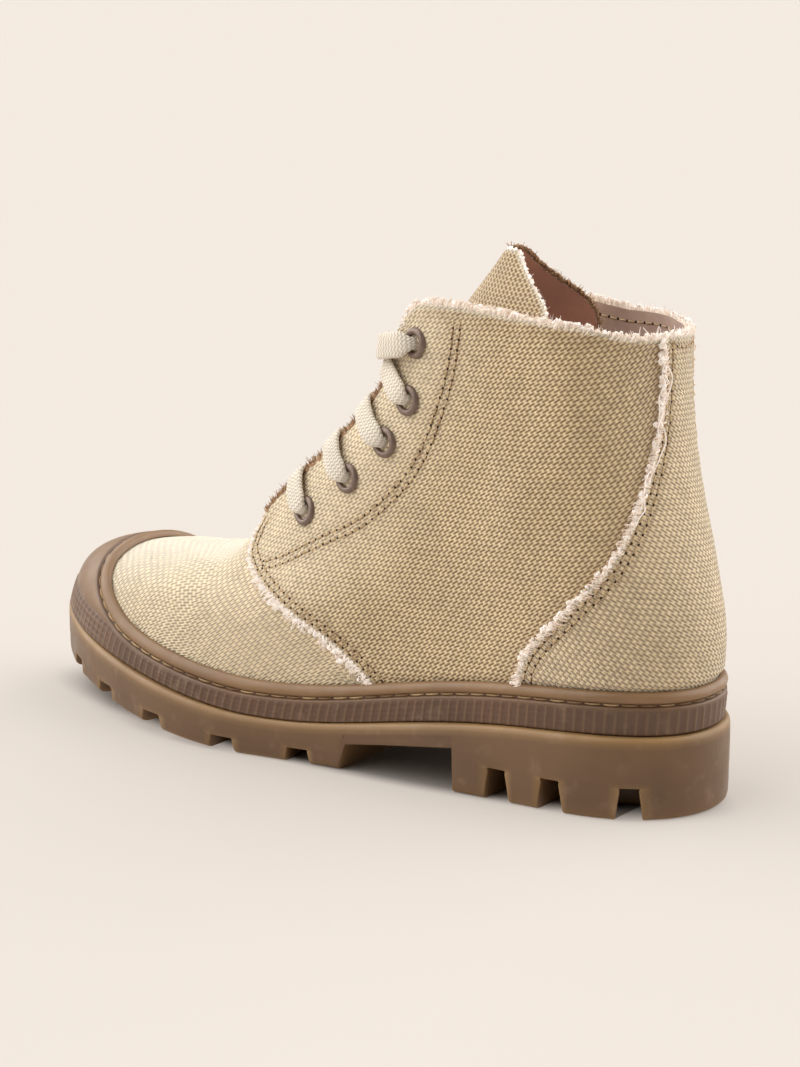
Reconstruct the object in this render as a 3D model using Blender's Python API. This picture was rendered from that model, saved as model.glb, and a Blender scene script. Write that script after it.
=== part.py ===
"""Left canvas ankle boot on a lugged rubber sole, built as a maker assembles it.

Sizes are in millimetres, measured forward from the sole's back edge. The finished
pieces are moved so that the origin is the middle of the footprint, on the floor.
+X points to the toe, +Y to the outer side of the foot and +Z up.
"""

import math

import bmesh
import bpy
import numpy as np

MM = 0.001
GAP = 0.3  # clearance between two pieces that meet

# Footprint of the sole: half width and sideways shift of its middle line, by share of length.
SOLE_LENGTH = 285.0
SOLE_HEEL_RADIUS = 35.0
SOLE_TOE_RADIUS = 30.0
SOLE_STATIONS = (
    # share, half width, spine
    (0.00, None, 0.0),
    (0.10, 33.2, 0.0),
    (0.20, 36.4, 0.2),
    (0.30, 37.0, 1.4),
    (0.42, 37.6, 2.8),
    (0.55, 43.0, 3.6),
    (0.64, 47.2, 3.0),
    (0.73, 47.8, 1.0),
    (0.82, 43.0, -1.0),
    (0.90, 34.0, -2.6),
    (0.96, 22.0, -4.0),
    (1.00, None, -5.5),
)

# Sole edge, side view: thickness from tread to ledge, and the lift of the toe.
SOLE_THICKNESS = (
    # share, thickness
    (0.00, 28.2),
    (0.10, 28.2),
    (0.20, 26.8),
    (0.30, 23.4),
    (0.40, 18.6),
    (0.50, 15.0),
    (0.60, 14.8),
    (0.70, 16.0),
    (0.85, 17.2),
    (1.00, 18.0),
)
TOE_SPRING = 16.5
SPRING_START = 0.58
SPRING_POWER = 1.5

# Upper: closed sections from the feather line (row 0) to the collar (last row). Each runs
# from a back point to a front point; half widths are taken at fixed shares between them.
WIDTH_SHARES = (0.12, 0.40, 0.66, 0.86)
SECTION_COLUMNS = (
    "back_x", "back_z", "front_x", "front_z", "drop", "back_radius",
    "w12", "w40", "w66", "w86", "front_radius", "counter_deg", "quarter_deg",
)
SECTIONS = np.array((
    (5.0, 28.2, 279.5, 34.5, 1.00, 29.0, 29.5, 32.5, 42.5, 36.0, 27.0, 53.0, 75.0),
    (3.8, 43.2, 270.5, 49.5, 1.00, 30.0, 31.0, 33.5, 42.5, 36.0, 27.0, 53.0, 81.0),
    (3.4, 54.0, 251.0, 57.0, 0.60, 31.0, 31.5, 34.0, 40.0, 33.5, 24.0, 53.0, 92.5),
    (4.4, 64.0, 228.0, 59.5, 0.25, 31.5, 31.5, 34.0, 37.0, 27.0, 20.0, 50.0, 112.0),
    (6.3, 75.0, 206.0, 64.0, 0.00, 32.0, 31.5, 34.0, 34.5, 26.0, 16.5, 43.5, 133.5),
    (9.0, 88.0, 184.5, 81.0, 0.00, 32.0, 31.5, 34.0, 32.5, 26.0, 19.0, 35.5, 150.0),
    (12.3, 110.0, 156.5, 105.0, 0.00, 31.0, 30.5, 33.5, 32.0, 27.3, 27.0, 23.5, 148.0),
    (15.0, 136.0, 128.5, 133.0, 0.00, 30.0, 28.5, 33.5, 32.0, 27.5, 29.5, 18.5, 144.0),
    (16.4, 158.5, 121.5, 160.0, 0.00, 29.0, 28.0, 33.5, 31.5, 27.0, 31.0, 17.0, 143.0),
))
ROWS = np.arange(len(SECTIONS), dtype=float)
FEATHER_RISE = 15.0  # height of row 1 above row 0
THROAT_ROW = 5.0
SHAFT_ROW = 7.0
SPINE_FADE_ROW = 6.0  # the sideways curve of the foot is gone at this row
WALL = 1.6
OVERLAY = 0.7  # each panel lies this much over the one before it
OVERLAY_START, OVERLAY_FULL = 1.02, 1.18  # rows between which the overlays rise out of the rand
SEAM_DEG = 0.4

# Collar edge: the row where the upper ends, by angle. The last value rounds the facing's corner.
COLLAR = ((0, 7.95), (20, 7.95), (45, 8.14), (75, 8.20), (110, 8.22), (126, 8.16), (136, 7.98), (143, 7.72))

# Rand: the row of its top edge, by angle. It climbs over the toe as a cap.
RAND_TOP = (
    (-50, 1.01), (0, 1.00), (50, 1.01), (80, 0.97), (100, 0.87), (112, 0.83), (122, 0.84), (130, 0.93),
    (138, 1.14), (147, 1.44), (155, 1.70), (167, 1.99), (180, 2.07), (193, 1.99),
)
RAND_GAP = 0.6  # leaves room for the facets of two curved faces
BAND_HEIGHT = 9.4
BAND_THICK = 3.0
RIB_COUNT = 136
RIB_HEIGHT = 0.5
RIB_SHARES = (0.0, 0.70, 0.85)  # foot, foot and crest of a rib within its pitch
CAP_SHARES = (0.35, 0.7)  # loops of the smooth cap between the band and the groove
LIP_PROFILE = (
    # distance below the top edge, thickness over the upper
    (5.3, 3.0),
    (5.0, 1.7),
    (4.2, 1.7),
    (2.4, 2.9),
    (0.0, 1.5),
)
TOE_ROW_PITCH = 21.0  # length of one row over the toe

# Tongue: its root follows the inside of the upper, its free end is a leaning half cone.
TONGUE_COLUMNS = ("free", "row", "reach_deg", "front_x", "front_z", "edge_x", "edge_y")
TONGUE = np.array((
    (0.00, 4.45, 20.0, 193.0, 72.0, 190.0, 12.0),
    (0.00, 5.00, 39.0, 181.0, 80.0, 165.0, 20.0),
    (0.10, 5.60, 45.0, 165.0, 95.0, 143.0, 22.5),
    (0.55, 6.30, 50.0, 144.0, 114.0, 114.0, 24.0),
    (1.00, 7.00, 56.0, 122.0, 134.0, 85.0, 24.5),
    (1.00, 8.00, 60.0, 101.0, 161.0, 56.0, 24.0),
    (1.00, 8.40, 60.0, 92.0, 172.0, 70.5, 12.0),
    (1.00, 8.70, 60.0, 85.5, 181.0, 79.0, 4.0),
))
TONGUE_TURN = 76.0
TONGUE_THICK = 1.6

INSOLE_THICK = 4.0

# Lugs: notches cut into both sides, and the arch between heel and forefoot.
NOTCHES = (
    # x, width at the floor, width at the top, height
    (16.5, 9.0, 6.0, 11.0),
    (43.0, 9.5, 6.0, 11.0),
    (63.5, 9.5, 6.0, 11.0),
    (143.0, 9.5, 7.5, 5.2),
    (173.0, 10.5, 8.0, 5.2),
    (206.0, 10.5, 8.0, 5.2),
    (234.5, 10.0, 8.0, 5.2),
    (257.5, 9.5, 7.5, 5.2),
)
NOTCH_DEPTH = 16.0
ARCH = ((81.5, -5.0), (80.5, 15.2), (124.0, 9.2), (128.0, -5.0))

# Eyelets: row and angle of each pair, from the throat up.
EYELETS = ((5.22, 130.5), (5.82, 124.0), (6.36, 120.0), (6.92, 121.5), (7.66, 126.0))
EYELET_PROFILE = (
    # radius, height over the quarter's face
    (2.2, -1.9),
    (2.4, 1.3),
    (4.0, 1.6),
    (5.4, 0.3),
    (2.6, 0.3),
    (2.6, -1.9),
)
EYELET_HOLE = 2.95
EYELET_SIDES = 10

LACE_WIDTH = 7.5
LACE_THICK = 1.7
LACE_LIFT = 4.5  # height of the lace's middle over the form, clear of the eyelets
LACE_STAGGER = 0.35  # a bar that crosses over another lies this much higher

# Fineness of the meshes
OUTSOLE_COLUMNS = 36
RAND_SPANS = 68
COUNTER_COLUMNS, QUARTER_COLUMNS, VAMP_COLUMNS = 5, 10, 8
VAMP_CROWDING = 1.3  # columns lie closer together towards the toe
HIDDEN_ROWS, FOOT_ROWS, SHAFT_ROWS = 3, 10, 8
TONGUE_ROWS, TONGUE_COLUMNS_ACROSS = 14, 8
LACE_STEPS = 6


def spline(knots, values, at):
    """Natural cubic spline through the rows of values, read at the places in at."""
    knots = np.asarray(knots, float)
    values = np.asarray(values, float)
    at = np.asarray(at, float)
    last = len(knots) - 1
    gap = np.diff(knots)
    system = np.eye(last + 1)
    right = np.zeros_like(values)
    slope = np.diff(values, axis=0) / gap.reshape(-1, *[1] * (values.ndim - 1))
    for i in range(1, last):
        system[i, i - 1 : i + 2] = gap[i - 1], 2 * (gap[i - 1] + gap[i]), gap[i]
        right[i] = 6 * (slope[i] - slope[i - 1])
    bend = np.linalg.solve(system, right.reshape(last + 1, -1)).reshape(values.shape)
    i = np.clip(np.searchsorted(knots, at) - 1, 0, last - 1)
    shape = at.shape + (1,) * (values.ndim - 1)
    h = gap[i].reshape(shape)
    t = ((at - knots[i]) / gap[i]).reshape(shape)
    curve = (t**3 - t) * bend[i + 1] + ((1 - t) ** 3 - (1 - t)) * bend[i]
    return values[i] * (1 - t) + values[i + 1] * t + curve * h * h / 6


def share_of(angle):
    """Share of a section's length at an angle: 0 at the back, 1 at the front."""
    return (1 - np.cos(np.radians(angle))) / 2


def angle_of(share):
    return np.degrees(np.arccos(1 - 2 * np.asarray(share, float)))


def fullness(shares, half_widths, back_radius, front_radius, length):
    """Half widths divided by the sine of their angle, with the values that give the two end radii."""
    sines = np.sin(np.radians(angle_of(shares)))
    ends = [np.sqrt(r * length / 2) for r in (back_radius, front_radius)]
    return np.concatenate([ends[:1], np.asarray(half_widths) / sines, ends[1:]])


STATION_SHARES = [row[0] for row in SOLE_STATIONS]
SOLE_FULLNESS = fullness(
    STATION_SHARES[1:-1], [row[1] for row in SOLE_STATIONS[1:-1]],
    SOLE_HEEL_RADIUS, SOLE_TOE_RADIUS, SOLE_LENGTH,
)
SECTION_ANGLES = np.concatenate([[0.0], angle_of(WIDTH_SHARES), [180.0]])


def column(name):
    return SECTIONS[:, SECTION_COLUMNS.index(name)]


SECTION_FULLNESS = np.array([
    fullness(WIDTH_SHARES, row[6:10], row[5], row[10], row[2] - row[0]) for row in SECTIONS
])


def spine(x):
    """Sideways shift of the foot's middle line."""
    return spline(STATION_SHARES, [row[2] for row in SOLE_STATIONS], np.asarray(x) / SOLE_LENGTH)


def tread(x):
    """Height of the sole's lowest surface: flat to the ball of the foot, then lifting to the toe."""
    rise = (np.asarray(x) / SOLE_LENGTH - SPRING_START) / (1 - SPRING_START)
    return TOE_SPRING * np.clip(rise, 0, None) ** SPRING_POWER


def ledge(x):
    """Height of the sole's upper edge."""
    shares, thickness = zip(*SOLE_THICKNESS)
    return tread(x) + spline(shares, thickness, np.asarray(x) / SOLE_LENGTH)


def sole_outline(angle, inset=0.0):
    """Points x, y of the footprint, moved in by inset. Angle 0 is the heel, 180 the toe, + the outer side."""
    def edge(at):
        x = SOLE_LENGTH * share_of(at)
        full = spline(angle_of(STATION_SHARES), SOLE_FULLNESS, np.abs(at))
        return np.stack([x, spine(x) + full * np.sin(np.radians(at))], -1)

    angle = np.asarray(angle, float)
    step = 0.05
    along = edge(angle + step) - edge(angle - step)
    along /= np.linalg.norm(along, axis=-1, keepdims=True)
    outward = np.stack([-along[..., 1], along[..., 0]], -1)
    return edge(angle) - inset * outward


def section_point(row, angle):
    """Point on the upper's outer face before any overlay. Row may lie between two sections."""
    row, angle = np.broadcast_arrays(np.asarray(row, float), np.asarray(angle, float))
    ends = spline(ROWS, SECTIONS[:, :5], row)
    back_x, back_z, front_x, front_z, drop = np.moveaxis(ends, -1, 0)
    share = share_of(angle)
    x = back_x + (front_x - back_x) * share
    straight = SECTIONS[0, 1] + (SECTIONS[0, 3] - SECTIONS[0, 1]) * share
    sole_x = SECTIONS[0, 0] + (SECTIONS[0, 2] - SECTIONS[0, 0]) * share
    z = back_z + (front_z - back_z) * share - drop * (straight - ledge(sole_x))
    by_row = spline(ROWS, np.eye(len(ROWS)), row)
    by_angle = spline(SECTION_ANGLES, np.eye(len(SECTION_ANGLES)), np.abs(angle))
    full = np.einsum("...i,ij,...j->...", by_row, SECTION_FULLNESS, by_angle)
    fade = np.clip(1 - row / SPINE_FADE_ROW, 0, 1)
    y = spine(x) * fade + full * np.sin(np.radians(angle))
    return np.stack([x, y, z], -1)


def wrapped(angle):
    """The same direction as an angle between -180 and 180."""
    return (np.asarray(angle, float) + 180) % 360 - 180


def form(row, angle, offset=0.0):
    """Point of the upper's form, moved out along the surface normal by offset."""
    row, angle = np.broadcast_arrays(np.asarray(row, float), np.asarray(angle, float))
    up = section_point(row + 0.01, angle) - section_point(row - 0.01, angle)
    round_ = section_point(row, angle + 0.2) - section_point(row, angle - 0.2)
    normal = np.cross(up, round_)
    normal /= np.linalg.norm(normal, axis=-1, keepdims=True)
    return section_point(row, angle) + np.asarray(offset)[..., None] * normal


def at_angle(table, angle):
    """Reads a two-column table by the size of the angle."""
    angles, values = zip(*table)
    return spline(angles, values, np.abs(angle))


def even_angles(curve, count, start=0.0, end=180.0):
    """Angles that divide a curve, given as a function of angle, into equal lengths."""
    fine = np.linspace(start, end, 2001)
    points = curve(fine)
    run = np.concatenate([[0], np.cumsum(np.linalg.norm(np.diff(points, axis=0), axis=1))])
    return np.interp(np.linspace(0, run[-1], count + 1), run, fine)


def footprint_middle():
    points = sole_outline(np.linspace(-180, 180, 721))
    low, high = points.min(axis=0), points.max(axis=0)
    return np.array([(low[0] + high[0]) / 2, (low[1] + high[1]) / 2, 0.0])


ORIGIN = footprint_middle()


def material(name, colour, roughness, metallic=0.0):
    made = bpy.data.materials.new(name)
    made.use_nodes = True
    shader = made.node_tree.nodes["Principled BSDF"]
    shader.inputs["Base Color"].default_value = (*colour, 1.0)
    shader.inputs["Roughness"].default_value = roughness
    shader.inputs["Metallic"].default_value = metallic
    return made


def solid(name, points, faces, look, smooth_deg=40.0):
    """One mesh object from points in millimetres, with its faces turned outward."""
    mesh = bpy.data.meshes.new(name)
    placed = (np.asarray(points, float) - ORIGIN) * MM
    mesh.from_pydata(placed.tolist(), [], [list(face) for face in faces])
    body = bmesh.new()
    body.from_mesh(mesh)
    bmesh.ops.recalc_face_normals(body, faces=body.faces)
    body.to_mesh(mesh)
    body.free()
    if look:
        mesh.materials.append(look)
    mesh.polygons.foreach_set("use_smooth", [True] * len(mesh.polygons))
    mesh.set_sharp_from_angle(angle=math.radians(smooth_deg))
    made = bpy.data.objects.new(name, mesh)
    bpy.context.scene.collection.objects.link(made)
    return made


def combine(body, tools, operation, solver="EXACT"):
    """Joins to or cuts from a body the shape of each tool, which is then hidden."""
    for tool in tools:
        tool.hide_render = True
        tool.display_type = "WIRE"
        step = body.modifiers.new(tool.name, "BOOLEAN")
        step.operation = operation
        step.solver = solver
        step.object = tool
    return body


def shell(outer, inner, cells):
    """Points and faces of a sheet with thickness. Cells are squares of indices into both point lists."""
    count = len(outer)
    faces = [cell for cell in cells] + [[i + count for i in reversed(cell)] for cell in cells]
    edges = {(cell[i], cell[(i + 1) % 4]) for cell in cells for i in range(4)}
    for a, b in edges:
        if (b, a) not in edges:
            faces.append((b, a, a + count, b + count))
    return np.concatenate([outer, inner]), faces


def capped_loops(loops):
    """Faces of a stack of mirrored loops: walls, and end faces made of strips across.

    Each loop lists the outer side from back to front, then the inner side from front to back.
    """
    count = len(loops[0])
    half = count // 2
    faces = []
    for level in range(len(loops) - 1):
        for i in range(count):
            j = (i + 1) % count
            low, high = level * count, (level + 1) * count
            faces.append((low + i, low + j, high + j, high + i))
    for base in (0, (len(loops) - 1) * count):
        for i in range(half):
            square = (base + i, base + i + 1, base + (count - i - 1) % count, base + (count - i) % count)
            faces.append(tuple(dict.fromkeys(square)))
    return np.concatenate(loops), faces


def mirrored(angles):
    """Angles of a full loop from those of one side, back to front."""
    return np.concatenate([angles, -angles[-2:0:-1]])


def build_outsole(look):
    angles = mirrored(even_angles(sole_outline, OUTSOLE_COLUMNS))
    levels = (
        # inset, height over the tread, depth under the ledge
        (2.0, 0.0, None),
        (0.7, 1.6, None),
        (0.0, None, 2.4),
        (0.4, None, 0.8),
        (1.5, None, 0.0),
    )
    loops = []
    for inset, over, under in levels:
        flat = sole_outline(angles, inset)
        x = flat[:, 0]
        height = tread(x) + over if under is None else ledge(x) - under
        loops.append(np.column_stack([flat, height]))
    sole = solid("outsole", *capped_loops(loops), look)
    return combine(sole, [arch_cutter(), notch_cutter()], "DIFFERENCE")


def arch_cutter():
    reach = SOLE_LENGTH / 3
    points = [(x, y, z) for y in (-reach, reach) for x, z in ARCH]
    faces = [(0, 1, 2, 3), (7, 6, 5, 4), (0, 4, 5, 1), (1, 5, 6, 2), (2, 6, 7, 3), (3, 7, 4, 0)]
    return solid("arch_cutter", points, faces, None)


def notch_cutter():
    """One wedge per notch, square to the sole's edge, on both sides."""
    points, faces = [], []
    for x, low_width, high_width, height in NOTCHES:
        for side in (1, -1):
            angle = side * angle_of(x / SOLE_LENGTH)
            edge = sole_outline(angle)
            inward = sole_outline(angle, 1.0) - edge
            along = np.array([-inward[1], inward[0]])
            foot = float(tread(x))
            base = len(points)
            for reach in (-6.0, NOTCH_DEPTH):
                for share, width, z in (
                    (-0.5, low_width, foot - 4), (0.5, low_width, foot - 4),
                    (0.5, high_width, foot + height), (-0.5, high_width, foot + height),
                ):
                    points.append((*(edge + inward * reach + along * share * width), z))
            wedge = ((0, 1, 2, 3), (7, 6, 5, 4), (0, 4, 5, 1), (1, 5, 6, 2), (2, 6, 7, 3), (3, 7, 4, 0))
            faces += [tuple(base + i for i in face) for face in wedge]
    return solid("notch_cutter", points, faces, None)


def rand_row(angle, below):
    """Row that lies a distance below the rand's top edge."""
    over_toe = np.clip((np.abs(angle) - 130) / 30, 0, 1)
    pitch = FEATHER_RISE + (TOE_ROW_PITCH - FEATHER_RISE) * over_toe
    return at_angle(RAND_TOP, angle) - below / pitch


def band_row(angle):
    """Row of the ribbed band's top edge."""
    return np.minimum(rand_row(angle, LIP_PROFILE[0][0] + 0.3), BAND_HEIGHT / FEATHER_RISE)


def build_rand(look):
    spans = mirrored(even_angles(lambda a: form(np.full_like(a, 0.3), a, 3.0), RAND_SPANS // 2))
    closed = np.append(spans[: RAND_SPANS // 2 + 1], spans[RAND_SPANS // 2 + 1 :] + 360)
    closed = np.append(closed, 360.0)
    rib_at = [(i + share) * RAND_SPANS / RIB_COUNT for i in range(RIB_COUNT) for share in RIB_SHARES]
    rib_angles = wrapped(np.interp(rib_at, np.arange(RAND_SPANS + 1), closed))
    rib_out = BAND_THICK + np.tile([0.0, 0.0, RIB_HEIGHT], RIB_COUNT)
    foot_row = GAP / FEATHER_RISE
    loops = [
        form(np.full(RAND_SPANS, foot_row), spans, RAND_GAP),
        form(np.full(len(rib_angles), foot_row), rib_angles, rib_out),
        form(band_row(rib_angles), rib_angles, rib_out),
    ]
    low, high = band_row(spans), rand_row(spans, LIP_PROFILE[0][0])
    loops += [form(low + (high - low) * share, spans, BAND_THICK) for share in CAP_SHARES]
    loops += [form(rand_row(spans, below), spans, thick) for below, thick in LIP_PROFILE]
    top = rand_row(spans, 0.0)
    loops += [form(foot_row + (top - foot_row) * share, spans, RAND_GAP) for share in (1, 0.75, 0.5, 0.25)]
    for loop in loops[:2]:
        loop[:, 2] = ledge(np.clip(loop[:, 0], 0, SOLE_LENGTH)) + GAP
    starts = np.cumsum([0] + [len(loop) for loop in loops])
    faces = []
    for level in range(len(loops)):
        upper = (level + 1) % len(loops)
        faces += ring_faces(starts[level], len(loops[level]), starts[upper], len(loops[upper]))
    return solid("rand", np.concatenate(loops), faces, look)


def ring_faces(low, low_count, high, high_count):
    """Faces between two closed loops; the finer loop has a whole number of points per span."""
    spans = min(low_count, high_count)
    low_step, high_step = low_count // spans, high_count // spans
    faces = []
    for i in range(spans):
        below = [low + (i * low_step + k) % low_count for k in range(low_step + 1)]
        above = [high + (i * high_step + k) % high_count for k in range(high_step + 1)]
        faces.append((*below, *reversed(above)))
    return faces


def upper_columns():
    """Zone, share of the zone and overlay count of each column, once round the upper."""
    side = [("counter", i / COUNTER_COLUMNS, 2) for i in range(COUNTER_COLUMNS + 1)]
    side += [("quarter", i / QUARTER_COLUMNS, 1) for i in range(QUARTER_COLUMNS + 1)]
    side += [("vamp", 1 - (1 - i / VAMP_COLUMNS) ** VAMP_CROWDING, 0) for i in range(VAMP_COLUMNS + 1)]
    columns = [(*entry, 1) for entry in side]
    columns += [(*entry, -1) for entry in side[-2:0:-1]]
    return columns


def column_angle(zone, share, row):
    """Angle of a column at a row. The zones are bounded by the seams, which move from row to row."""
    counter = spline(ROWS, column("counter_deg"), row)
    quarter = spline(ROWS, column("quarter_deg"), row)
    start, end = {
        "counter": (0.0, counter),
        "quarter": (counter + SEAM_DEG, quarter),
        "vamp": (quarter + SEAM_DEG, 180.0),
    }[zone]
    return start + (end - start) * share


def build_upper(look):
    hidden = np.linspace(GAP / FEATHER_RISE, OVERLAY_START, HIDDEN_ROWS + 1)
    foot = np.linspace(OVERLAY_FULL, THROAT_ROW, FOOT_ROWS + 1)
    shaft = np.linspace(THROAT_ROW, SHAFT_ROW + 1, SHAFT_ROWS + 1)[1:]
    rows = np.concatenate([hidden, foot, shaft])
    columns = upper_columns()
    outer, inner, index = [], [], {}
    for i, row in enumerate(rows):
        for j, (zone, share, overlays, side) in enumerate(columns):
            if zone == "vamp" and row > THROAT_ROW:
                continue
            angle = column_angle(zone, share, row)
            here = row
            if row > SHAFT_ROW:
                here = SHAFT_ROW + (row - SHAFT_ROW) * (at_angle(COLLAR, angle) - SHAFT_ROW)
                angle = column_angle(zone, share, here)
            rise = np.clip((here - OVERLAY_START) / (OVERLAY_FULL - OVERLAY_START), 0, 1)
            index[i, j] = len(outer)
            outer.append(form(here, side * angle, OVERLAY * overlays * rise))
            inner.append(form(here, side * angle, -WALL))
    cells = []
    for i in range(len(rows) - 1):
        for j in range(len(columns)):
            corners = [(i, j), (i, (j + 1) % len(columns)), (i + 1, (j + 1) % len(columns)), (i + 1, j)]
            if all(corner in index for corner in corners):
                cells.append([index[corner] for corner in corners])
    upper = solid("upper", *shell(np.array(outer), np.array(inner), cells), look)
    return combine(upper, [eyelet_hole_cutter()], "DIFFERENCE")


def eyelet_frame(row, angle):
    """Centre on the quarter's face, and three axes: along the row, up the shaft, and out."""
    centre = form(row, angle, OVERLAY)
    out = form(row, angle, OVERLAY + 1) - centre
    along = np.cross((0.0, 0.0, 1.0), out)
    along /= np.linalg.norm(along)
    return centre, along, np.cross(out, along), out


def eyelet_places():
    return [(row, side * angle) for side in (1, -1) for row, angle in EYELETS]


def turned(row, angle, profile):
    """Closed body of a profile of radius and height, turned about the eyelet's axis."""
    centre, along, up, out = eyelet_frame(row, angle)
    turns = np.linspace(0, 2 * np.pi, EYELET_SIDES, endpoint=False)
    points = [
        centre + radius * (np.cos(turn) * along + np.sin(turn) * up) + height * out
        for radius, height in profile for turn in turns
    ]
    return points, EYELET_SIDES


def build_eyelets(look):
    made = []
    for number, (row, angle) in enumerate(eyelet_places(), 1):
        points, sides = turned(row, angle, EYELET_PROFILE)
        faces = []
        for k in range(len(EYELET_PROFILE)):
            low, high = k * sides, (k + 1) % len(EYELET_PROFILE) * sides
            faces += ring_faces(low, sides, high, sides)
        made.append(solid(f"eyelet_{number:02d}", points, faces, look))
    return made


def eyelet_hole_cutter():
    points, faces = [], []
    for row, angle in eyelet_places():
        base = len(points)
        pin, sides = turned(row, angle, ((EYELET_HOLE, -6.0), (EYELET_HOLE, 4.0)))
        points += pin
        faces += ring_faces(base, sides, base + sides, sides)
        faces += [range(base, base + sides), range(base + sides, base + 2 * sides)]
    return solid("eyelet_hole_cutter", points, faces, None)


def tongue_points():
    """Grid of points on the tongue's outer face, rows from root to tip."""
    knots = np.arange(len(TONGUE), dtype=float)
    at = np.linspace(0, knots[-1], TONGUE_ROWS + 1)
    values = np.stack([np.interp(at, knots, values) for values in TONGUE.T], -1)
    across = np.linspace(-1, 1, TONGUE_COLUMNS_ACROSS + 1)
    grid = []
    for free, row, reach, front_x, front_z, edge_x, edge_y in values:
        angle = wrapped(180 - across * reach)
        root = form(np.full_like(across, min(row, SHAFT_ROW)), angle, -WALL - 2 * GAP)
        turn = np.radians(TONGUE_TURN)
        x = front_x - (front_x - edge_x) * (1 - np.cos(across * turn)) / (1 - np.cos(turn))
        y = edge_y * np.sin(across * turn) / np.sin(turn)
        cone = np.column_stack([x, y, np.full_like(across, front_z)])
        grid.append(root * (1 - free) + cone * free)
    return np.array(grid)


def build_tongue(look):
    grid = tongue_points()
    up, side = np.gradient(grid, axis=0), np.gradient(grid, axis=1)
    normal = np.cross(side, up)
    normal /= np.linalg.norm(normal, axis=-1, keepdims=True)
    outer = grid.reshape(-1, 3)
    inner = outer - TONGUE_THICK * normal.reshape(-1, 3)
    wide = TONGUE_COLUMNS_ACROSS + 1
    cells = [
        [i * wide + j, i * wide + j + 1, (i + 1) * wide + j + 1, (i + 1) * wide + j]
        for i in range(TONGUE_ROWS) for j in range(TONGUE_COLUMNS_ACROSS)
    ]
    return solid("tongue", *shell(outer, inner, cells), look)


def build_insole(look):
    row = GAP / FEATHER_RISE
    side = [column_angle(zone, share, row) for zone, share, _, way in upper_columns() if way > 0]
    kept = [angle for i, angle in enumerate(side) if i == 0 or angle - side[i - 1] > SEAM_DEG]
    angles = mirrored(np.array(kept))
    loops = []
    for rise in (GAP, GAP + INSOLE_THICK):
        loop = form(np.full_like(angles, rise / FEATHER_RISE), angles, -WALL - RAND_GAP)
        loop[:, 2] = ledge(loop[:, 0]) + rise
        loops.append(loop)
    return solid("insole", *capped_loops(loops), look)


def lace_bar(start, end, lift):
    """Flat bar over the throat between two eyelets, each given as row and angle from 0 to 360."""
    share = np.linspace(0, 1, LACE_STEPS + 1)
    row = start[0] + (end[0] - start[0]) * share
    angle = wrapped(start[1] + (end[1] - start[1]) * share)
    middle = form(row, angle, lift)
    out = form(row, angle, lift + 1) - middle
    along = np.gradient(middle, axis=0)
    wide = np.cross(out, along)
    wide /= np.linalg.norm(wide, axis=1, keepdims=True)
    corners = ((-1, -1), (1, -1), (1, 1), (-1, 1))
    edges = [middle + LACE_WIDTH / 2 * w * wide + LACE_THICK / 2 * t * out for w, t in corners]
    points = np.stack(edges, 1).reshape(-1, 3)
    faces = []
    for i in range(LACE_STEPS):
        faces += ring_faces(i * 4, 4, (i + 1) * 4, 4)
    faces += [range(4), range(LACE_STEPS * 4, LACE_STEPS * 4 + 4)]
    return points, faces


def build_lace(look):
    """Crossings from each eyelet to the next higher one opposite, and a bar between the top two."""
    runs = []
    for low, high in zip(EYELETS[:-1], EYELETS[1:]):
        runs.append((low, (high[0], 360 - high[1]), LACE_LIFT))
        runs.append((high, (low[0], 360 - low[1]), LACE_LIFT + LACE_STAGGER))
    top_row, top_angle = EYELETS[-1]
    runs.append(((top_row, top_angle - 1), (top_row, 361 - top_angle), LACE_LIFT + 2 * LACE_STAGGER))
    bars = [solid("lace", *lace_bar(*runs[0]), look)]
    for number, run in enumerate(runs[1:], 1):
        bars.append(solid(f"lace_bar_{number}", *lace_bar(*run), None))
    return combine(bars[0], bars[1:], "UNION", "MANIFOLD")


def main():
    for old in list(bpy.data.objects):
        bpy.data.objects.remove(old, do_unlink=True)
    canvas = material("canvas", (0.60, 0.43, 0.22), 0.95)
    lining = material("tongue_canvas", (0.60, 0.43, 0.22), 0.95)
    rubber = material("gum_rubber", (0.14, 0.08, 0.05), 0.55)
    band = material("rand_rubber", (0.17, 0.10, 0.06), 0.5)
    footbed = material("footbed", (0.30, 0.19, 0.13), 0.95)
    enamel = material("eyelet_enamel", (0.12, 0.09, 0.08), 0.4, 0.6)
    cotton = material("lace_cotton", (0.72, 0.65, 0.52), 0.95)
    build_outsole(rubber)
    build_rand(band)
    build_upper(canvas)
    build_tongue(lining)
    build_insole(footbed)
    build_eyelets(enamel)
    build_lace(cotton)


main()
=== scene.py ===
"""Looks of the left canvas ankle boot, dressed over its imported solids.

Shapes are worked out in millimetres, measured forward from the sole's back edge, +X to the toe,
+Y to the outer side of the foot and +Z up, and are then moved to the part's own frame.
"""

import math

import bpy
import numpy as np
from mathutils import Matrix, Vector
from mathutils.bvhtree import BVHTree
from mathutils.kdtree import KDTree


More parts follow.
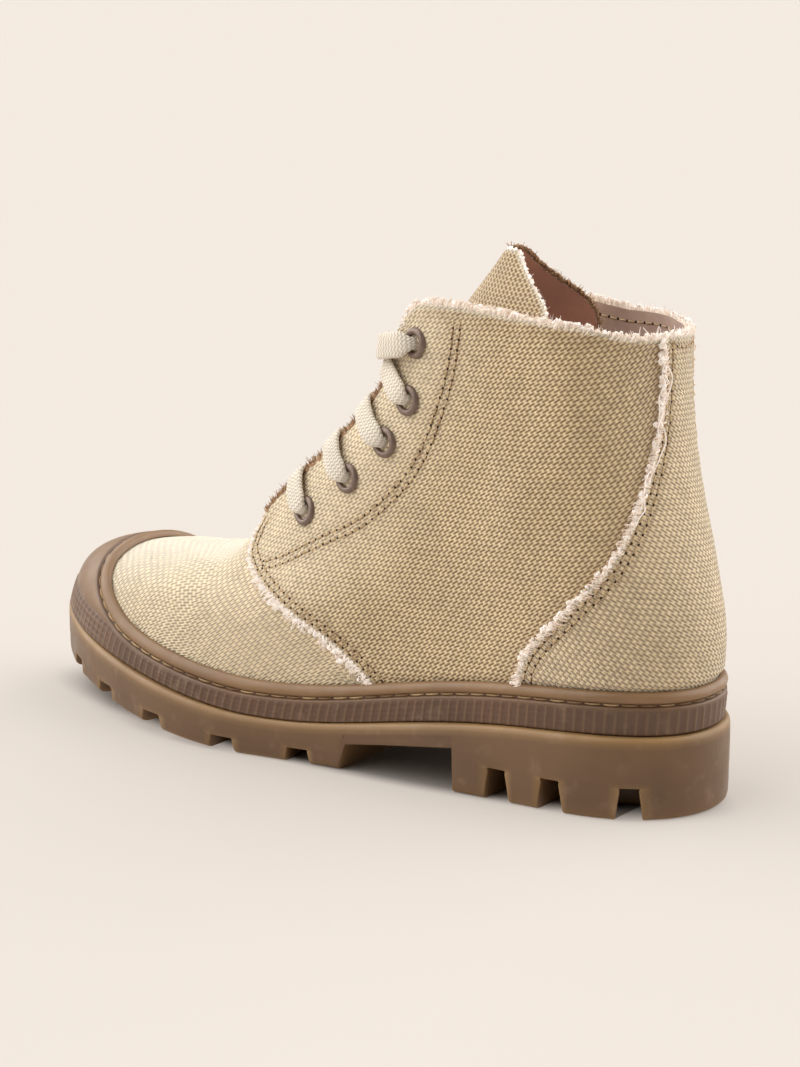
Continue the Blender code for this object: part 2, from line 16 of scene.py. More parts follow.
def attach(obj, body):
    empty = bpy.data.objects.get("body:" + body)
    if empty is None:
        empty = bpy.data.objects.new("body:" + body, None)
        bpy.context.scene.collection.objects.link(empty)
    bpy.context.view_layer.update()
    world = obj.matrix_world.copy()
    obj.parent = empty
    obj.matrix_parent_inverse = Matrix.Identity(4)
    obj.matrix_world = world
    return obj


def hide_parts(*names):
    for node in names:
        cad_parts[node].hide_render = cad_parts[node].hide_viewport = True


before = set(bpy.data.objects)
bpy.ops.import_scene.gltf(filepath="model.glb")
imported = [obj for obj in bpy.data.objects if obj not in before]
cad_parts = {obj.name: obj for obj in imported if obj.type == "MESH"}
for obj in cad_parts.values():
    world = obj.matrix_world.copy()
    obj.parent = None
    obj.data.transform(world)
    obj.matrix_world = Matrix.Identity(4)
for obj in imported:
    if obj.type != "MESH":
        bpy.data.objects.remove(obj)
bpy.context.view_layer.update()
MM = 0.001
RANDOM = np.random.default_rng(7)
ROW_STEP, ANGLE_STEP, EDGE_STEP = 0.01, 0.2, 0.05  # steps for slopes, the last on the sole's edge

# Sole: half width and sideways shift of its middle line, thickness and toe lift, by share of length.
SOLE_LENGTH = 285.0
SOLE_RADII = (35.0, 30.0)
SOLE_STATIONS = np.array((
    # share, half width, spine
    (0.00, 0.0, 0.0), (0.10, 33.2, 0.0), (0.20, 36.4, 0.2), (0.30, 37.0, 1.4), (0.42, 37.6, 2.8),
    (0.55, 43.0, 3.6), (0.64, 47.2, 3.0), (0.73, 47.8, 1.0), (0.82, 43.0, -1.0), (0.90, 34.0, -2.6),
    (0.96, 22.0, -4.0), (1.00, 0.0, -5.5),
))
SOLE_THICKNESS = np.array((
    # share, thickness
    (0.00, 28.2), (0.10, 28.2), (0.20, 26.8), (0.30, 23.4), (0.40, 18.6), (0.50, 15.0), (0.60, 14.8),
    (0.70, 16.0), (0.85, 17.2), (1.00, 18.0),
))
TOE_SPRING, SPRING_START, SPRING_POWER = 16.5, 0.58, 1.5

# Upper: sections from the feather line (row 0) to the collar. The cloth's back is drawn in a little.
WIDTH_SHARES = (0.12, 0.40, 0.66, 0.86)
SECTIONS = np.array((
    # back x, z, front x, z, drop, back radius, four half widths, front radius, counter and quarter angles
    (5.0, 28.2, 279.5, 34.5, 1.00, 29.0, 29.5, 32.5, 42.5, 36.0, 27.0, 53.0, 75.0),
    (3.8, 43.2, 270.5, 49.5, 1.00, 30.0, 31.0, 33.5, 42.5, 36.0, 27.0, 53.0, 81.0),
    (3.4, 54.0, 251.0, 57.0, 0.60, 31.0, 31.5, 34.0, 40.0, 33.5, 24.0, 53.0, 92.5),
    (4.4, 64.0, 228.0, 59.5, 0.25, 31.5, 31.5, 34.0, 37.0, 27.0, 20.0, 50.0, 112.0),
    (6.9, 75.0, 206.0, 64.0, 0.00, 32.0, 31.5, 34.0, 34.5, 26.0, 16.5, 43.5, 133.5),
    (10.2, 88.0, 184.5, 81.0, 0.00, 32.0, 31.5, 34.0, 32.5, 26.0, 19.0, 33.0, 150.0),
    (15.9, 110.0, 156.5, 105.0, 0.00, 29.0, 30.5, 33.5, 32.0, 27.3, 27.0, 20.0, 148.0),
    (19.8, 136.0, 128.5, 133.0, 0.00, 27.0, 28.5, 33.5, 32.0, 27.5, 29.5, 10.0, 144.0),
    (20.1, 158.5, 121.5, 160.0, 0.00, 24.0, 28.0, 33.5, 31.5, 27.0, 31.0, 10.0, 143.0),
))
ROWS = np.arange(len(SECTIONS), dtype=float)
INNER_COUNTER = np.array((53.0, 53.0, 53.0, 50.0, 43.5, 37.0, 34.0, 34.0, 34.0))  # its edge on the inner side
FEATHER_RISE, THROAT_ROW, SHAFT_ROW, SPINE_FADE_ROW = 15.0, 5.0, 7.0, 6.0
WALL, OVERLAY, SEAM_DEG = 1.6, 0.7, 0.4
COLLAR_FRONT = 143.0  # angle of the collar's front corners
OVERLAY_START, OVERLAY_FULL = 1.02, 1.18
COLLAR = np.array((
    # angle, row
    (0, 7.95), (20, 7.95), (45, 8.14), (75, 8.20), (110, 8.22), (126, 8.16), (136, 7.98), (143, 7.72),
))
INNER_SINK = np.array((
    # angle on the inner side, rows by which the collar has sunk there
    (-120, 0.0), (-95, 0.14), (-75, 0.22), (-45, 0.22), (-25, 0.08), (0, 0.0),
))
THROAT_DENT = 4.5  # depth of vamp and tongue below the form, between the facings
DENT_STARTS, DENT_ENDS = (3.2, 4.5), (5.2, 6.8)  # rows over which it sets in and fades out

# Rand: row of its top edge by angle, ribbed band, stitch groove and bead.
RAND_TOP = np.array((
    # angle, row
    (-50, 1.01), (0, 1.00), (50, 1.01), (80, 0.97), (100, 0.87), (112, 0.83), (122, 0.84), (130, 0.93),
    (138, 1.14), (147, 1.44), (155, 1.70), (167, 1.99), (180, 2.07), (193, 1.99),
))
BAND_HEIGHT, BAND_THICK, RIB_COUNT, RIB_HEIGHT, TOE_ROW_PITCH = 9.4, 3.0, 186, 0.28, 21.0

# Tongue: root on the inside of the upper, free end a leaning half cone.
TONGUE = np.array((
    # free, row, reach, front x, front z, edge x, edge y
    (0.00, 4.45, 20.0, 193.0, 72.0, 190.0, 12.0),
    (0.00, 5.00, 39.0, 181.0, 80.0, 165.0, 20.0),
    (0.10, 5.60, 45.0, 165.0, 95.0, 143.0, 22.5),
    (0.55, 6.30, 50.0, 144.0, 114.0, 114.0, 24.0),
    (1.00, 7.00, 56.0, 122.0, 134.0, 83.0, 24.5),
    (1.00, 8.00, 60.0, 101.0, 161.0, 48.0, 24.0),
    (1.00, 8.40, 60.0, 92.0, 172.0, 69.0, 12.0),
    (1.00, 8.70, 60.0, 85.5, 181.0, 79.0, 4.0),
))
TONGUE_TURN, TONGUE_THICK, TONGUE_GAP = 76.0, 1.6, 0.6
TONGUE_FAR_FOLD = ((3, 1.0), (4, 1.3), (5, 0.78), (6, 0.7))  # by the table's row, fold of the inner edge

# Lugs: side notches, and the arch between heel and forefoot.
NOTCHES = np.array((
    # x, width at the floor, width at the top, height
    (16.5, 9.0, 6.0, 11.0), (43.0, 9.5, 6.0, 11.0), (63.5, 9.5, 6.0, 11.0), (143.0, 9.5, 7.5, 5.2),
    (173.0, 10.5, 8.0, 5.2), (206.0, 10.5, 8.0, 5.2), (234.5, 10.0, 8.0, 5.2), (257.5, 9.5, 7.5, 5.2),
))
NOTCH_DEPTH = 16.0
NOTCH_HALF = (
    # from the middle out: share of the half width along the edge, share of the depth
    (0.3, 1.0), (0.8, 1.0), (0.93, 0.94), (0.97, 0.6), (0.99, 0.2), (1.0, 0.05), (1.04, 0.015), (1.14, 0.0),
)
NOTCH_WALL = [(-along, depth) for along, depth in NOTCH_HALF[::-1]] + list(NOTCH_HALF)
ARCH_STEPS = (-0.6, -0.15, 0.15, 0.6)
ARCH = np.array(((81.2, 0.0), (80.7, 15.2), (124.0, 9.2), (126.6, 0.0)))

EYELETS = np.array(((5.22, 130.5), (5.82, 124.0), (6.36, 120.0), (6.92, 121.5), (7.66, 126.0)))
EYELET_PROFILE = (
    # radius, height over the quarter's face
    (2.95, -1.9), (2.95, 0.5), (3.1, 1.0), (3.5, 1.35), (4.1, 1.45), (4.75, 1.2), (5.15, 0.75), (5.3, 0.2),
    (4.9, 0.05), (3.2, 0.05), (3.2, -1.9),
)

# Stitching
# The shade radius is that of the dark tube of painted shade under each stitch.
STITCH, STITCH_GAP, STITCH_RADIUS, HOLE_SIZE, SHADE_RADIUS = 3.45, 0.8, 0.32, (0.7, 0.52), 0.56
COUNTER_ROWS, QUARTER_ROWS = (2.0, 4.4), (1.5, 4.0)  # distances of the stitch rows behind a sewn edge
COLLAR_ROWS = (0.17, 0.16)  # rows from the collar's edge down to its stitches, inside and outside
EYESTAY = np.array((
    # row, angle of the middle between the eyestay's two stitch rows
    (3.92, 126.5), (4.32, 121.0), (4.74, 116.5), (5.14, 109.5), (5.60, 105.0), (6.12, 102.5), (6.74, 104.5),
    (7.26, 105.5), (8.26, 104.2),
))
EYESTAY_HALF = 1.4
EYESTAY_END = 0.06  # rows left free under the collar

# Yarns that hang loose from the counter's front edge
LOOSE_YARNS = (
    # row from, row to, bulge forward, lift
    (7.75, 7.25, -1.6, 0.8), (7.62, 7.0, 2.2, 1.0), (7.3, 6.7, -2.4, 0.6), (7.0, 6.45, -1.4, 0.9),
    (6.8, 6.2, 2.0, 0.9), (6.3, 5.8, -1.3, 0.7), (5.9, 5.5, 1.2, 0.6), (5.2, 4.8, -1.1, 0.6),
    (4.2, 3.8, -1.0, 0.5), (3.0, 2.6, -1.0, 0.5),
)

# Soft troughs (depth below 0 is a ridge), each from one row and angle to another
CREASES = (
    # row, angle, row, angle, half width, depth
    (5.3, 112.0, 3.2, 84.0, 9.0, 0.9),
    (4.7, 124.0, 2.6, 96.0, 7.0, -0.5),
    (3.6, 150.0, 2.3, 118.0, 8.0, 0.7),
    (3.1, 168.0, 2.2, 136.0, 8.0, 0.5),
    (7.4, 62.0, 5.2, 50.0, 10.0, 0.8),
    (6.6, 40.0, 4.2, 62.0, 9.0, 0.6),
    (7.7, 88.0, 6.4, 80.0, 8.0, -0.5),
)


def srgb(red, green, blue):
    """Linear colour of a screen colour in 0 to 255."""
    c = np.array((red, green, blue)) / 255
    return tuple(np.where(c <= 0.04045, c / 12.92, ((c + 0.055) / 1.055) ** 2.4))


def spline(knots, values, at):
    """Natural cubic spline through the rows of values, read at the places in at."""
    knots, values, at = (np.asarray(a, float) for a in (knots, values, at))
    last = len(knots) - 1
    gap = np.diff(knots)
    system = np.eye(last + 1)
    right = np.zeros_like(values)
    slope = np.diff(values, axis=0) / gap.reshape(-1, *[1] * (values.ndim - 1))
    for i in range(1, last):
        system[i, i - 1 : i + 2] = gap[i - 1], 2 * (gap[i - 1] + gap[i]), gap[i]
        right[i] = 6 * (slope[i] - slope[i - 1])
    bend = np.linalg.solve(system, right.reshape(last + 1, -1)).reshape(values.shape)
    i = np.clip(np.searchsorted(knots, at) - 1, 0, last - 1)
    shape = at.shape + (1,) * (values.ndim - 1)
    h = gap[i].reshape(shape)
    t = ((at - knots[i]) / gap[i]).reshape(shape)
    curve = (t**3 - t) * bend[i + 1] + ((1 - t) ** 3 - (1 - t)) * bend[i]
    return values[i] * (1 - t) + values[i + 1] * t + curve * h * h / 6


def bell(distance, reach):
    """1 at distance 0, and close to 0 past twice the reach."""
    return np.exp(-((distance / reach) ** 2))


def bowed(count, power, start=0.0):
    """Half a wave at even steps, raised to a power; start is the share left out at either end."""
    return np.sin(np.pi * np.linspace(start, 1 - start, count)) ** power


def ramp(value, low, high):
    """0 up to low, 1 from high on, and straight between."""
    return np.clip((value - low) / (high - low), 0, 1)


def smooth_step(value, low, high):
    t = ramp(value, low, high)
    return t * t * (3 - 2 * t)


def unit(vectors):
    return vectors / np.linalg.norm(vectors, axis=-1, keepdims=True)


def share_of(angle):
    return (1 - np.cos(np.radians(angle))) / 2


def angle_of(share):
    return np.degrees(np.arccos(1 - 2 * np.asarray(share, float)))


def fullness(shares, half_widths, back_radius, front_radius, length):
    ends = [np.sqrt(r * length / 2) for r in (back_radius, front_radius)]
    return np.concatenate([ends[:1], half_widths / np.sin(np.radians(angle_of(shares))), ends[1:]])


SOLE_FULLNESS = fullness(SOLE_STATIONS[1:-1, 0], SOLE_STATIONS[1:-1, 1], *SOLE_RADII, SOLE_LENGTH)
SECTION_ANGLES = np.concatenate([[0.0], angle_of(WIDTH_SHARES), [180.0]])
SECTION_FULLNESS = np.array([
    fullness(WIDTH_SHARES, row[6:10], row[5], row[10], row[2] - row[0]) for row in SECTIONS
])


def spine(x):
    return spline(SOLE_STATIONS[:, 0], SOLE_STATIONS[:, 2], np.asarray(x) / SOLE_LENGTH)


def tread(x):
    rise = (np.asarray(x) / SOLE_LENGTH - SPRING_START) / (1 - SPRING_START)
    return TOE_SPRING * np.clip(rise, 0, None) ** SPRING_POWER


def ledge(x):
    return tread(x) + spline(*SOLE_THICKNESS.T, np.asarray(x) / SOLE_LENGTH)


def sole_outline(angle, inset=0.0):
    """Points x, y of the footprint, moved in by inset. Angle 0 is the heel, 180 the toe, + the outer side."""
    def edge(at):
        x = SOLE_LENGTH * share_of(at)
        full = spline(angle_of(SOLE_STATIONS[:, 0]), SOLE_FULLNESS, np.abs(at))
        return np.stack([x, spine(x) + full * np.sin(np.radians(at))], -1)

    angle = np.asarray(angle, float)
    along = unit(edge(angle + EDGE_STEP) - edge(angle - EDGE_STEP))
    outward = np.stack([-along[..., 1], along[..., 0]], -1)
    return edge(angle) - np.asarray(inset)[..., None] * outward


def section_point(row, angle):
    row, angle = np.broadcast_arrays(np.asarray(row, float), np.asarray(angle, float))
    back_x, back_z, front_x, front_z, drop = np.moveaxis(spline(ROWS, SECTIONS[:, :5], row), -1, 0)
    share = share_of(angle)
    x = back_x + (front_x - back_x) * share
    straight = SECTIONS[0, 1] + (SECTIONS[0, 3] - SECTIONS[0, 1]) * share
    sole_x = SECTIONS[0, 0] + (SECTIONS[0, 2] - SECTIONS[0, 0]) * share
    z = back_z + (front_z - back_z) * share - drop * (straight - ledge(sole_x))
    by_row = spline(ROWS, np.eye(len(ROWS)), row)
    by_angle = spline(SECTION_ANGLES, np.eye(len(SECTION_ANGLES)), np.abs(angle))
    full = np.einsum("...i,ij,...j->...", by_row, SECTION_FULLNESS, by_angle)
    y = spine(x) * np.clip(1 - row / SPINE_FADE_ROW, 0, 1) + full * np.sin(np.radians(angle))
    return np.stack([x, y, z], -1)


def wrapped(angle):
    return (np.asarray(angle, float) + 180) % 360 - 180


def slopes(row, angle):
    """Change of the form's point per row and per degree."""
    up = section_point(row + ROW_STEP, angle) - section_point(row - ROW_STEP, angle)
    around = section_point(row, angle + ANGLE_STEP) - section_point(row, angle - ANGLE_STEP)
    return up / (2 * ROW_STEP), around / (2 * ANGLE_STEP)


def form_normal(row, angle):
    """Outward direction of the form's surface."""
    return unit(np.cross(*slopes(row, angle)))


def form(row, angle, offset=0.0):
    """Point of the upper's form, moved out along the surface normal by offset."""
    row, angle = np.broadcast_arrays(np.asarray(row, float), np.asarray(angle, float))
    return section_point(row, angle) + np.asarray(offset)[..., None] * form_normal(row, angle)


def at_angle(table, angle):
    return spline(*table.T, np.abs(angle))


def counter_edge(row, way):
    """Angle of the counter's front edge, on the outer side (way 1) or the inner (-1)."""
    outer, inner = (spline(ROWS, column, row) for column in (SECTIONS[:, 11], INNER_COUNTER))
    return np.where(np.asarray(way) > 0, outer, inner)


def quarter_edge(row):
    return spline(ROWS, SECTIONS[:, 12], row)


def run_of(points):
    """Length along a line up to each of its points."""
    return np.concatenate([[0], np.cumsum(np.linalg.norm(np.diff(points, axis=0), axis=1))])


def read_along(at, run, values):
    """Rows of values, known at the lengths in run, read at the lengths in at."""
    return np.stack([np.interp(at, run, column) for column in values.T], -1)


def even(points, pitch):
    """Points of a line at equal steps close to pitch."""
    run = run_of(points)
    at = np.linspace(0, run[-1], max(2, round(run[-1] / pitch) + 1))
    return read_along(at, run, points)


def even_angles(curve, count):
    fine = np.linspace(0, 180, 2001)
    run = run_of(curve(fine))
    return np.interp(np.linspace(0, run[-1], count + 1), run, fine)


def mirrored(angles):
    return np.concatenate([angles, -angles[-2:0:-1]])


def footprint_middle():
    points = sole_outline(np.linspace(-180, 180, 721))
    middle = (points.min(axis=0) + points.max(axis=0)) / 2
    return np.array([*middle, 0.0])


ORIGIN = footprint_middle()


# Meshes

def piece(name, points, faces, looks, slots=None, uv=None, marks=None, sharp_deg=50.0):
    """One smooth-shaded mesh from points in millimetres that rides on the boot."""
    mesh = bpy.data.meshes.new(name)
    faces = [list(map(int, face)) for face in faces]
    mesh.from_pydata(((np.asarray(points) - ORIGIN) * MM).tolist(), [], faces)
    for look in looks:
        mesh.materials.append(look)
    if slots is not None:
        mesh.polygons.foreach_set("material_index", np.asarray(slots, np.int32))
    mesh.polygons.foreach_set("use_smooth", np.ones(len(mesh.polygons), bool))
    corner = np.empty(len(mesh.loops), np.int32)
    mesh.loops.foreach_get("vertex_index", corner)
    if uv is not None:
        layer = mesh.uv_layers.new(name="weave")
        layer.data.foreach_set("uv", np.asarray(uv, np.float32)[corner].ravel())
    for key, values in (marks or {}).items():
        layer = mesh.attributes.new(key, "FLOAT", "POINT")
        layer.data.foreach_set("value", np.asarray(values, np.float32))
    mesh.set_sharp_from_angle(angle=math.radians(sharp_deg))
    made = bpy.data.objects.new(name, mesh)
    bpy.context.scene.collection.objects.link(made)
    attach(made, "root")
    return made


def grid_cells(rows, columns, closed=False):
    """Squares of a grid of points, whose columns may close into a ring."""
    i = np.arange(rows - 1)[:, None]
    j = np.arange(columns if closed else columns - 1)[None]
    right = (j + 1) % columns
    cells = (i * columns + j, i * columns + right, (i + 1) * columns + right, (i + 1) * columns + j)
    return np.stack([np.broadcast_to(c, (rows - 1, j.size)) for c in cells], -1).reshape(-1, 4)


def rim_cells(cells, count):
    """Squares that join a sheet's open edges to those of its back, count points further on."""
    edges = np.stack([cells, np.roll(cells, -1, axis=1)], -1).reshape(-1, 2)
    key = edges[:, 0] * count + edges[:, 1]
    back = edges[:, 1] * count + edges[:, 0]
    open_ = edges[~np.isin(back, key)]
    return np.stack([open_[:, 1], open_[:, 0], open_[:, 0] + count, open_[:, 1] + count], -1)


def two_faced(cells, count):
    """Faces of a sheet of count points and of its back, joined along the rim, and their material slots."""
    rim = rim_cells(cells, count)
    faces = np.concatenate([cells, cells[:, ::-1] + count, rim])
    return faces, np.repeat([0, 1, 0], [len(cells), len(cells), len(rim)])


def copies(cells, count, size):
    """The same cells for count bodies that have size points each."""
    return (cells[None] + (np.arange(count) * size)[:, None, None]).reshape(-1, cells.shape[1])


def tubes(paths, radii, sides):
    """Points and cells of many tubes; paths is tubes by stations by 3, radii match its stations."""
    count, stations = paths.shape[:2]
    along = unit(np.gradient(paths, axis=1) + 1e-9)
    across = np.cross(along, unit(RANDOM.normal(size=(count, 1, 3))))
    across = unit(across - along * (across * along).sum(-1, keepdims=True))
    third = np.cross(along, across)
    turn = np.arange(sides) * 2 * np.pi / sides
    ring = np.cos(turn)[:, None] * across[:, :, None] + np.sin(turn)[:, None] * third[:, :, None]
    points = paths[:, :, None] + ring * np.broadcast_to(radii, (count, stations))[..., None, None]
    cells = copies(grid_cells(stations, sides, True), count, stations * sides)
    return points.reshape(-1, 3), cells, np.repeat(np.arange(count), stations * sides)


def merge(parts):
    """Joins lists of (points, cells, marks) into one."""
    starts = np.cumsum([0] + [len(p[0]) for p in parts])
    return (
        np.concatenate([p[0] for p in parts]),
        np.concatenate([p[1] + s for p, s in zip(parts, starts)]),
        np.concatenate([p[2] for p in parts]),
    )


# Shader nodes

class Look:
    """A material, with short ways to add and join its nodes."""

    def __init__(self, name, roughness=0.9, **sockets):
        self.material = bpy.data.materials.new(name)
        self.material.use_nodes = True
        self.tree = self.material.node_tree
        self.shader = self.tree.nodes["Principled BSDF"]
        self.set(Roughness=roughness, **sockets)

    def put(self, socket, value):
        if isinstance(value, bpy.types.NodeSocket):
            self.tree.links.new(value, socket)
        elif isinstance(value, tuple) and len(value) == 3 and socket.type == "RGBA":
            socket.default_value = (*value, 1.0)
        else:
            socket.default_value = value

    def set(self, **sockets):
        for key, value in sockets.items():
            self.put(self.shader.inputs[key.replace("_", " ")], value)

    def node(self, kind, out=0, settings=(), **inputs):
        made = self.tree.nodes.new("ShaderNode" + kind)
        for key, value in dict(settings).items():
            setattr(made, key, value)
        for key, value in inputs.items():
            self.put(made.inputs[int(key[1:]) if key[1:].isdigit() else key.replace("_", " ")], value)
        return made.outputs[out]

    def calc(self, operation, a, b=0.0, c=0.0):
        return self.node("Math", settings={"operation": operation}, i0=a, i1=b, i2=c)

    def mark(self, name):
        return self.node("Attribute", out=2, settings={"attribute_name": name})

    def place(self):
        return self.node("TexCoord", out=3)

    def split(self, vector):
        """The parts x, y and z of a vector."""
        made = self.tree.nodes.new("ShaderNodeSeparateXYZ")
        self.put(made.inputs[0], vector)
        return made.outputs

    def weave_place(self):
        return self.node("UVMap", settings={"uv_map": "weave"})

    def noise(self, scale, detail=2.0):
        return self.node("TexNoise", Vector=self.place(), Scale=scale, Detail=detail)

    def patches(self, scale, detail, low, high, to_low=0.0, to_high=1.0):
        """Noise with its values from low to high spread over another range."""
        return self.span(self.noise(scale, detail), low, high, to_low, to_high)

    def vary(self, colour, value):
        """The colour with its brightness multiplied by value."""
        return self.node("HueSaturation", Value=value, Color=colour)

    def span(self, value, low, high, to_low=0.0, to_high=1.0):
        settings = {"interpolation_type": "SMOOTHSTEP"}
        return self.node("MapRange", settings=settings, i0=value, i1=low, i2=high, i3=to_low, i4=to_high)

    def blend(self, factor, a, b):
        settings = {"data_type": "RGBA"}
        return self.node("Mix", out=2, settings=settings, i0=factor, i6=a, i7=b)

    def bump(self, height, distance, strength=1.0):
        return self.node("Bump", Height=height, Distance=distance * MM, Strength=strength)


YARN_PITCH, WEAVE_ROW = 2.1, 1.7  # of the canvas, along and up
WEAVE_DRIFT = (1.1, 1.1, 0.0)
WEAVE_RIDGES = ((1.0, 0.95), (-1.0, 0.85), (3.0, -1.2))  # slant and weight of the waves that make the grains


def weave_look(name, gap, yarn):
    """Coarse canvas: plump slanted grains in staggered rows, with small dark gaps between them; their
    darkness is partly the weave's own colour and partly painted shade.
    """
    look = Look(name, 0.92, Sheen_Weight=0.45, Sheen_Roughness=0.45)
    drift = look.node("TexNoise", out=1, Vector=look.place(), Scale=90.0, Detail=3.0)
    settings = {"operation": "MULTIPLY_ADD"}
    drift = look.node("VectorMath", settings=settings, i0=drift, i1=WEAVE_DRIFT, i2=look.weave_place())
    parts = look.split(drift)
    turns = 2 * math.pi
    along = look.calc("MULTIPLY", parts[0], turns / YARN_PITCH)
    up = look.calc("MULTIPLY", parts[1], turns / WEAVE_ROW)
    half = look.calc("MULTIPLY", up, 0.5)
    wave = look.calc("MULTIPLY", look.calc("COSINE", up), 0.75)
    for slant, weight in WEAVE_RIDGES:
        ridge = look.calc("COSINE", look.calc("MULTIPLY_ADD", half, slant, along))
        wave = look.calc("MULTIPLY_ADD", ridge, weight, wave)
    uneven = look.calc("SUBTRACT", look.noise(420.0, 3.0), 0.5)
    wave = look.calc("MULTIPLY_ADD", uneven, 0.7, wave)
    grain = look.span(wave, -2.8, 2.2)
    lift = look.mark("lift")
    colour = look.blend(grain, gap, yarn)
    # Painted light: the marked panels are blended paler and made brighter, standing for the light that falls
    # on them.
    colour = look.blend(look.calc("MULTIPLY", lift, 0.3), colour, srgb(240, 227, 199))
    colour = look.vary(colour, look.patches(260.0, 3.0, 0.25, 0.75, 0.9, 1.08))
    broad = look.patches(28.0, 2.0, 0.3, 0.7, 0.95, 1.04)
    colour = look.vary(colour, look.calc("MULTIPLY_ADD", lift, 0.06, broad))
    # Painted shade: browner by the sunken stitch rows, beside the counter's edge and on the tongue.
    colour = look.blend(look.calc("MULTIPLY", look.mark("painted_shade"), 0.5), colour, srgb(136, 98, 64))
    # Raw edges are paler in their own colour; the vamp's ridge gets a painted highlight.
    colour = look.blend(look.mark("pale_edge_and_painted_highlight"), colour, srgb(240, 230, 212))
    height = look.calc("MULTIPLY_ADD", look.noise(1700.0, 2.0), 0.2, grain)
    look.set(Base_Color=colour, Normal=look.bump(height, 0.55))
    return look.material


def lining_look(name, colour, dark, glow=0.0):
    """Plain cloth; glow is painted light, a glow in the cloth's own colour that stands for light that has
    come through it.
    """
    look = Look(name, 0.9, Sheen_Weight=0.2, Emission_Color=colour, Emission_Strength=glow)
    nap = look.noise(420.0, 4.0)
    shade = look.blend(look.patches(45.0, 3.0, 0.3, 0.7), dark, colour)
    shade = look.blend(look.span(nap, 0.2, 0.8, 0.0, 0.4), shade, dark)
    look.set(Base_Color=shade, Normal=look.bump(nap, 0.2, 0.7))
    return look.material


def rubber_look(name, base, painted_amber_light, roughness):
    """Gum rubber with lighter marked edges: painted light, standing for light that passes through thin rubber
    and for highlights on edges, ribs and the bead.
    """
    look = Look(name, roughness, Coat_Weight=0.12, Coat_Roughness=0.28, Specular_IOR_Level=0.4)
    look.set(Subsurface_Weight=0.1, Subsurface_Radius=(1.0, 0.5, 0.25), Subsurface_Scale=0.003)
    colour = look.blend(look.mark("painted_amber_light"), base, painted_amber_light)
    colour = look.vary(colour, look.patches(35.0, 3.0, 0.3, 0.7, 0.9, 1.1))
    dust = look.patches(160.0, 5.0, 0.55, 0.8, 0.0, 0.18)
    colour = look.blend(dust, colour, srgb(176, 150, 122))
    rough = look.patches(120.0, 4.0, 0.3, 0.7, roughness - 0.07, roughness + 0.1)
    look.set(Base_Color=colour, Roughness=rough, Normal=look.bump(look.noise(900.0, 2.0), 0.05, 0.5))
    return look.material


def thread_look(name, light, dark, glow=0.0):
    """Twisted cotton with each thread's own shade; glow is painted light, standing for light passed on inside
    loose fluff.
    """
    look = Look(name, 0.95, Sheen_Weight=0.2, Emission_Strength=glow)
    fibre = look.noise(1600.0, 2.0)
    colour = look.blend(look.mark("shade"), dark, light)
    look.set(Emission_Color=colour)
    colour = look.vary(colour, look.span(fibre, 0.25, 0.75, 0.88, 1.08))
    look.set(Base_Color=colour, Normal=look.bump(fibre, 0.15))
    return look.material


def enamel_look(name):
    """Brown enamel on metal, worn paler in spots."""
    look = Look(name, 0.38, Metallic=0.35, Coat_Weight=0.2, Coat_Roughness=0.3)
    wear = look.calc("MULTIPLY", look.patches(500.0, 4.0, 0.5, 0.8), 0.4)
    look.set(Base_Color=look.blend(wear, srgb(118, 98, 86), srgb(160, 138, 120)))
    look.set(Roughness=look.patches(260.0, 3.0, 0.3, 0.7, 0.3, 0.46))
    look.set(Normal=look.bump(look.noise(700.0, 2.0), 0.03, 0.5))
    return look.material


def lace_look(name):
    """Flat woven cotton lace with a herringbone of fine ribs."""
    look = Look(name, 0.95, Sheen_Weight=0.2, Sheen_Roughness=0.5)
    parts = look.split(look.weave_place())
    across = look.calc("PINGPONG", parts[1], 0.95)
    ribs = look.calc("ADD", look.calc("MULTIPLY", parts[0], 4.6), look.calc("MULTIPLY", across, 3.4))
    rib = look.span(look.calc("SINE", ribs), -1.0, 1.0)
    colour = look.blend(look.span(rib, 0.0, 0.6), srgb(211, 196, 176), srgb(236, 226, 209))
    colour = look.vary(colour, look.patches(90.0, 3.0, 0.3, 0.7, 0.92, 1.05))
    height = look.calc("ADD", rib, look.calc("MULTIPLY", look.noise(1300.0, 2.0), 0.3))
    look.set(Base_Color=colour, Normal=look.bump(height, 0.3))
    return look.material


# The canvas's dark gap colour is partly its own and partly painted shade between the grains.
CANVAS = weave_look("canvas_weave", srgb(140, 104, 66), srgb(232, 209, 165))
LINING = lining_look("lining_cloth", srgb(206, 178, 160), srgb(174, 144, 128))
# The tongue's lining glows a little: painted light that brightens it in the shade inside the boot.
TONGUE_LINING = lining_look("tongue_lining", srgb(196, 146, 122), srgb(160, 112, 92), 0.14)
FOOTBED = lining_look("footbed_cloth", srgb(138, 108, 92), srgb(104, 76, 62))
# The second colour of each rubber is its painted light, at thin edges and on highlights.
SOLE_RUBBER = rubber_look("sole_rubber", srgb(106, 79, 54), srgb(152, 118, 74), 0.46)
BAND_RUBBER = rubber_look("band_rubber", srgb(96, 70, 52), srgb(168, 132, 90), 0.42)
# Loose cotton glows a little: painted light that keeps the fluff pale where it shades itself.
FRAY = thread_look("fray_cotton", srgb(255, 248, 241), srgb(196, 164, 130), 0.2)
# Brown yarn ends: the facings' own brown, and painted shade on the tongue's inner edge.
BROWN_FRAY = thread_look("brown_fray", srgb(190, 152, 112), srgb(128, 92, 66))
THREAD = thread_look("seam_thread", srgb(216, 190, 148), srgb(176, 144, 104))
WELT_THREAD = thread_look("welt_thread", srgb(202, 170, 124), srgb(124, 92, 60))
# Dark brown for the needle holes, and for the tubes of painted shade under the stitches.
HOLE_AND_SHADE = Look("needle_hole_and_painted_shade", 0.95, Base_Color=srgb(56, 34, 20)).material
ENAMEL = enamel_look("eyelet_enamel_worn")
LACE = lace_look("lace_weave")


# Paths on the upper

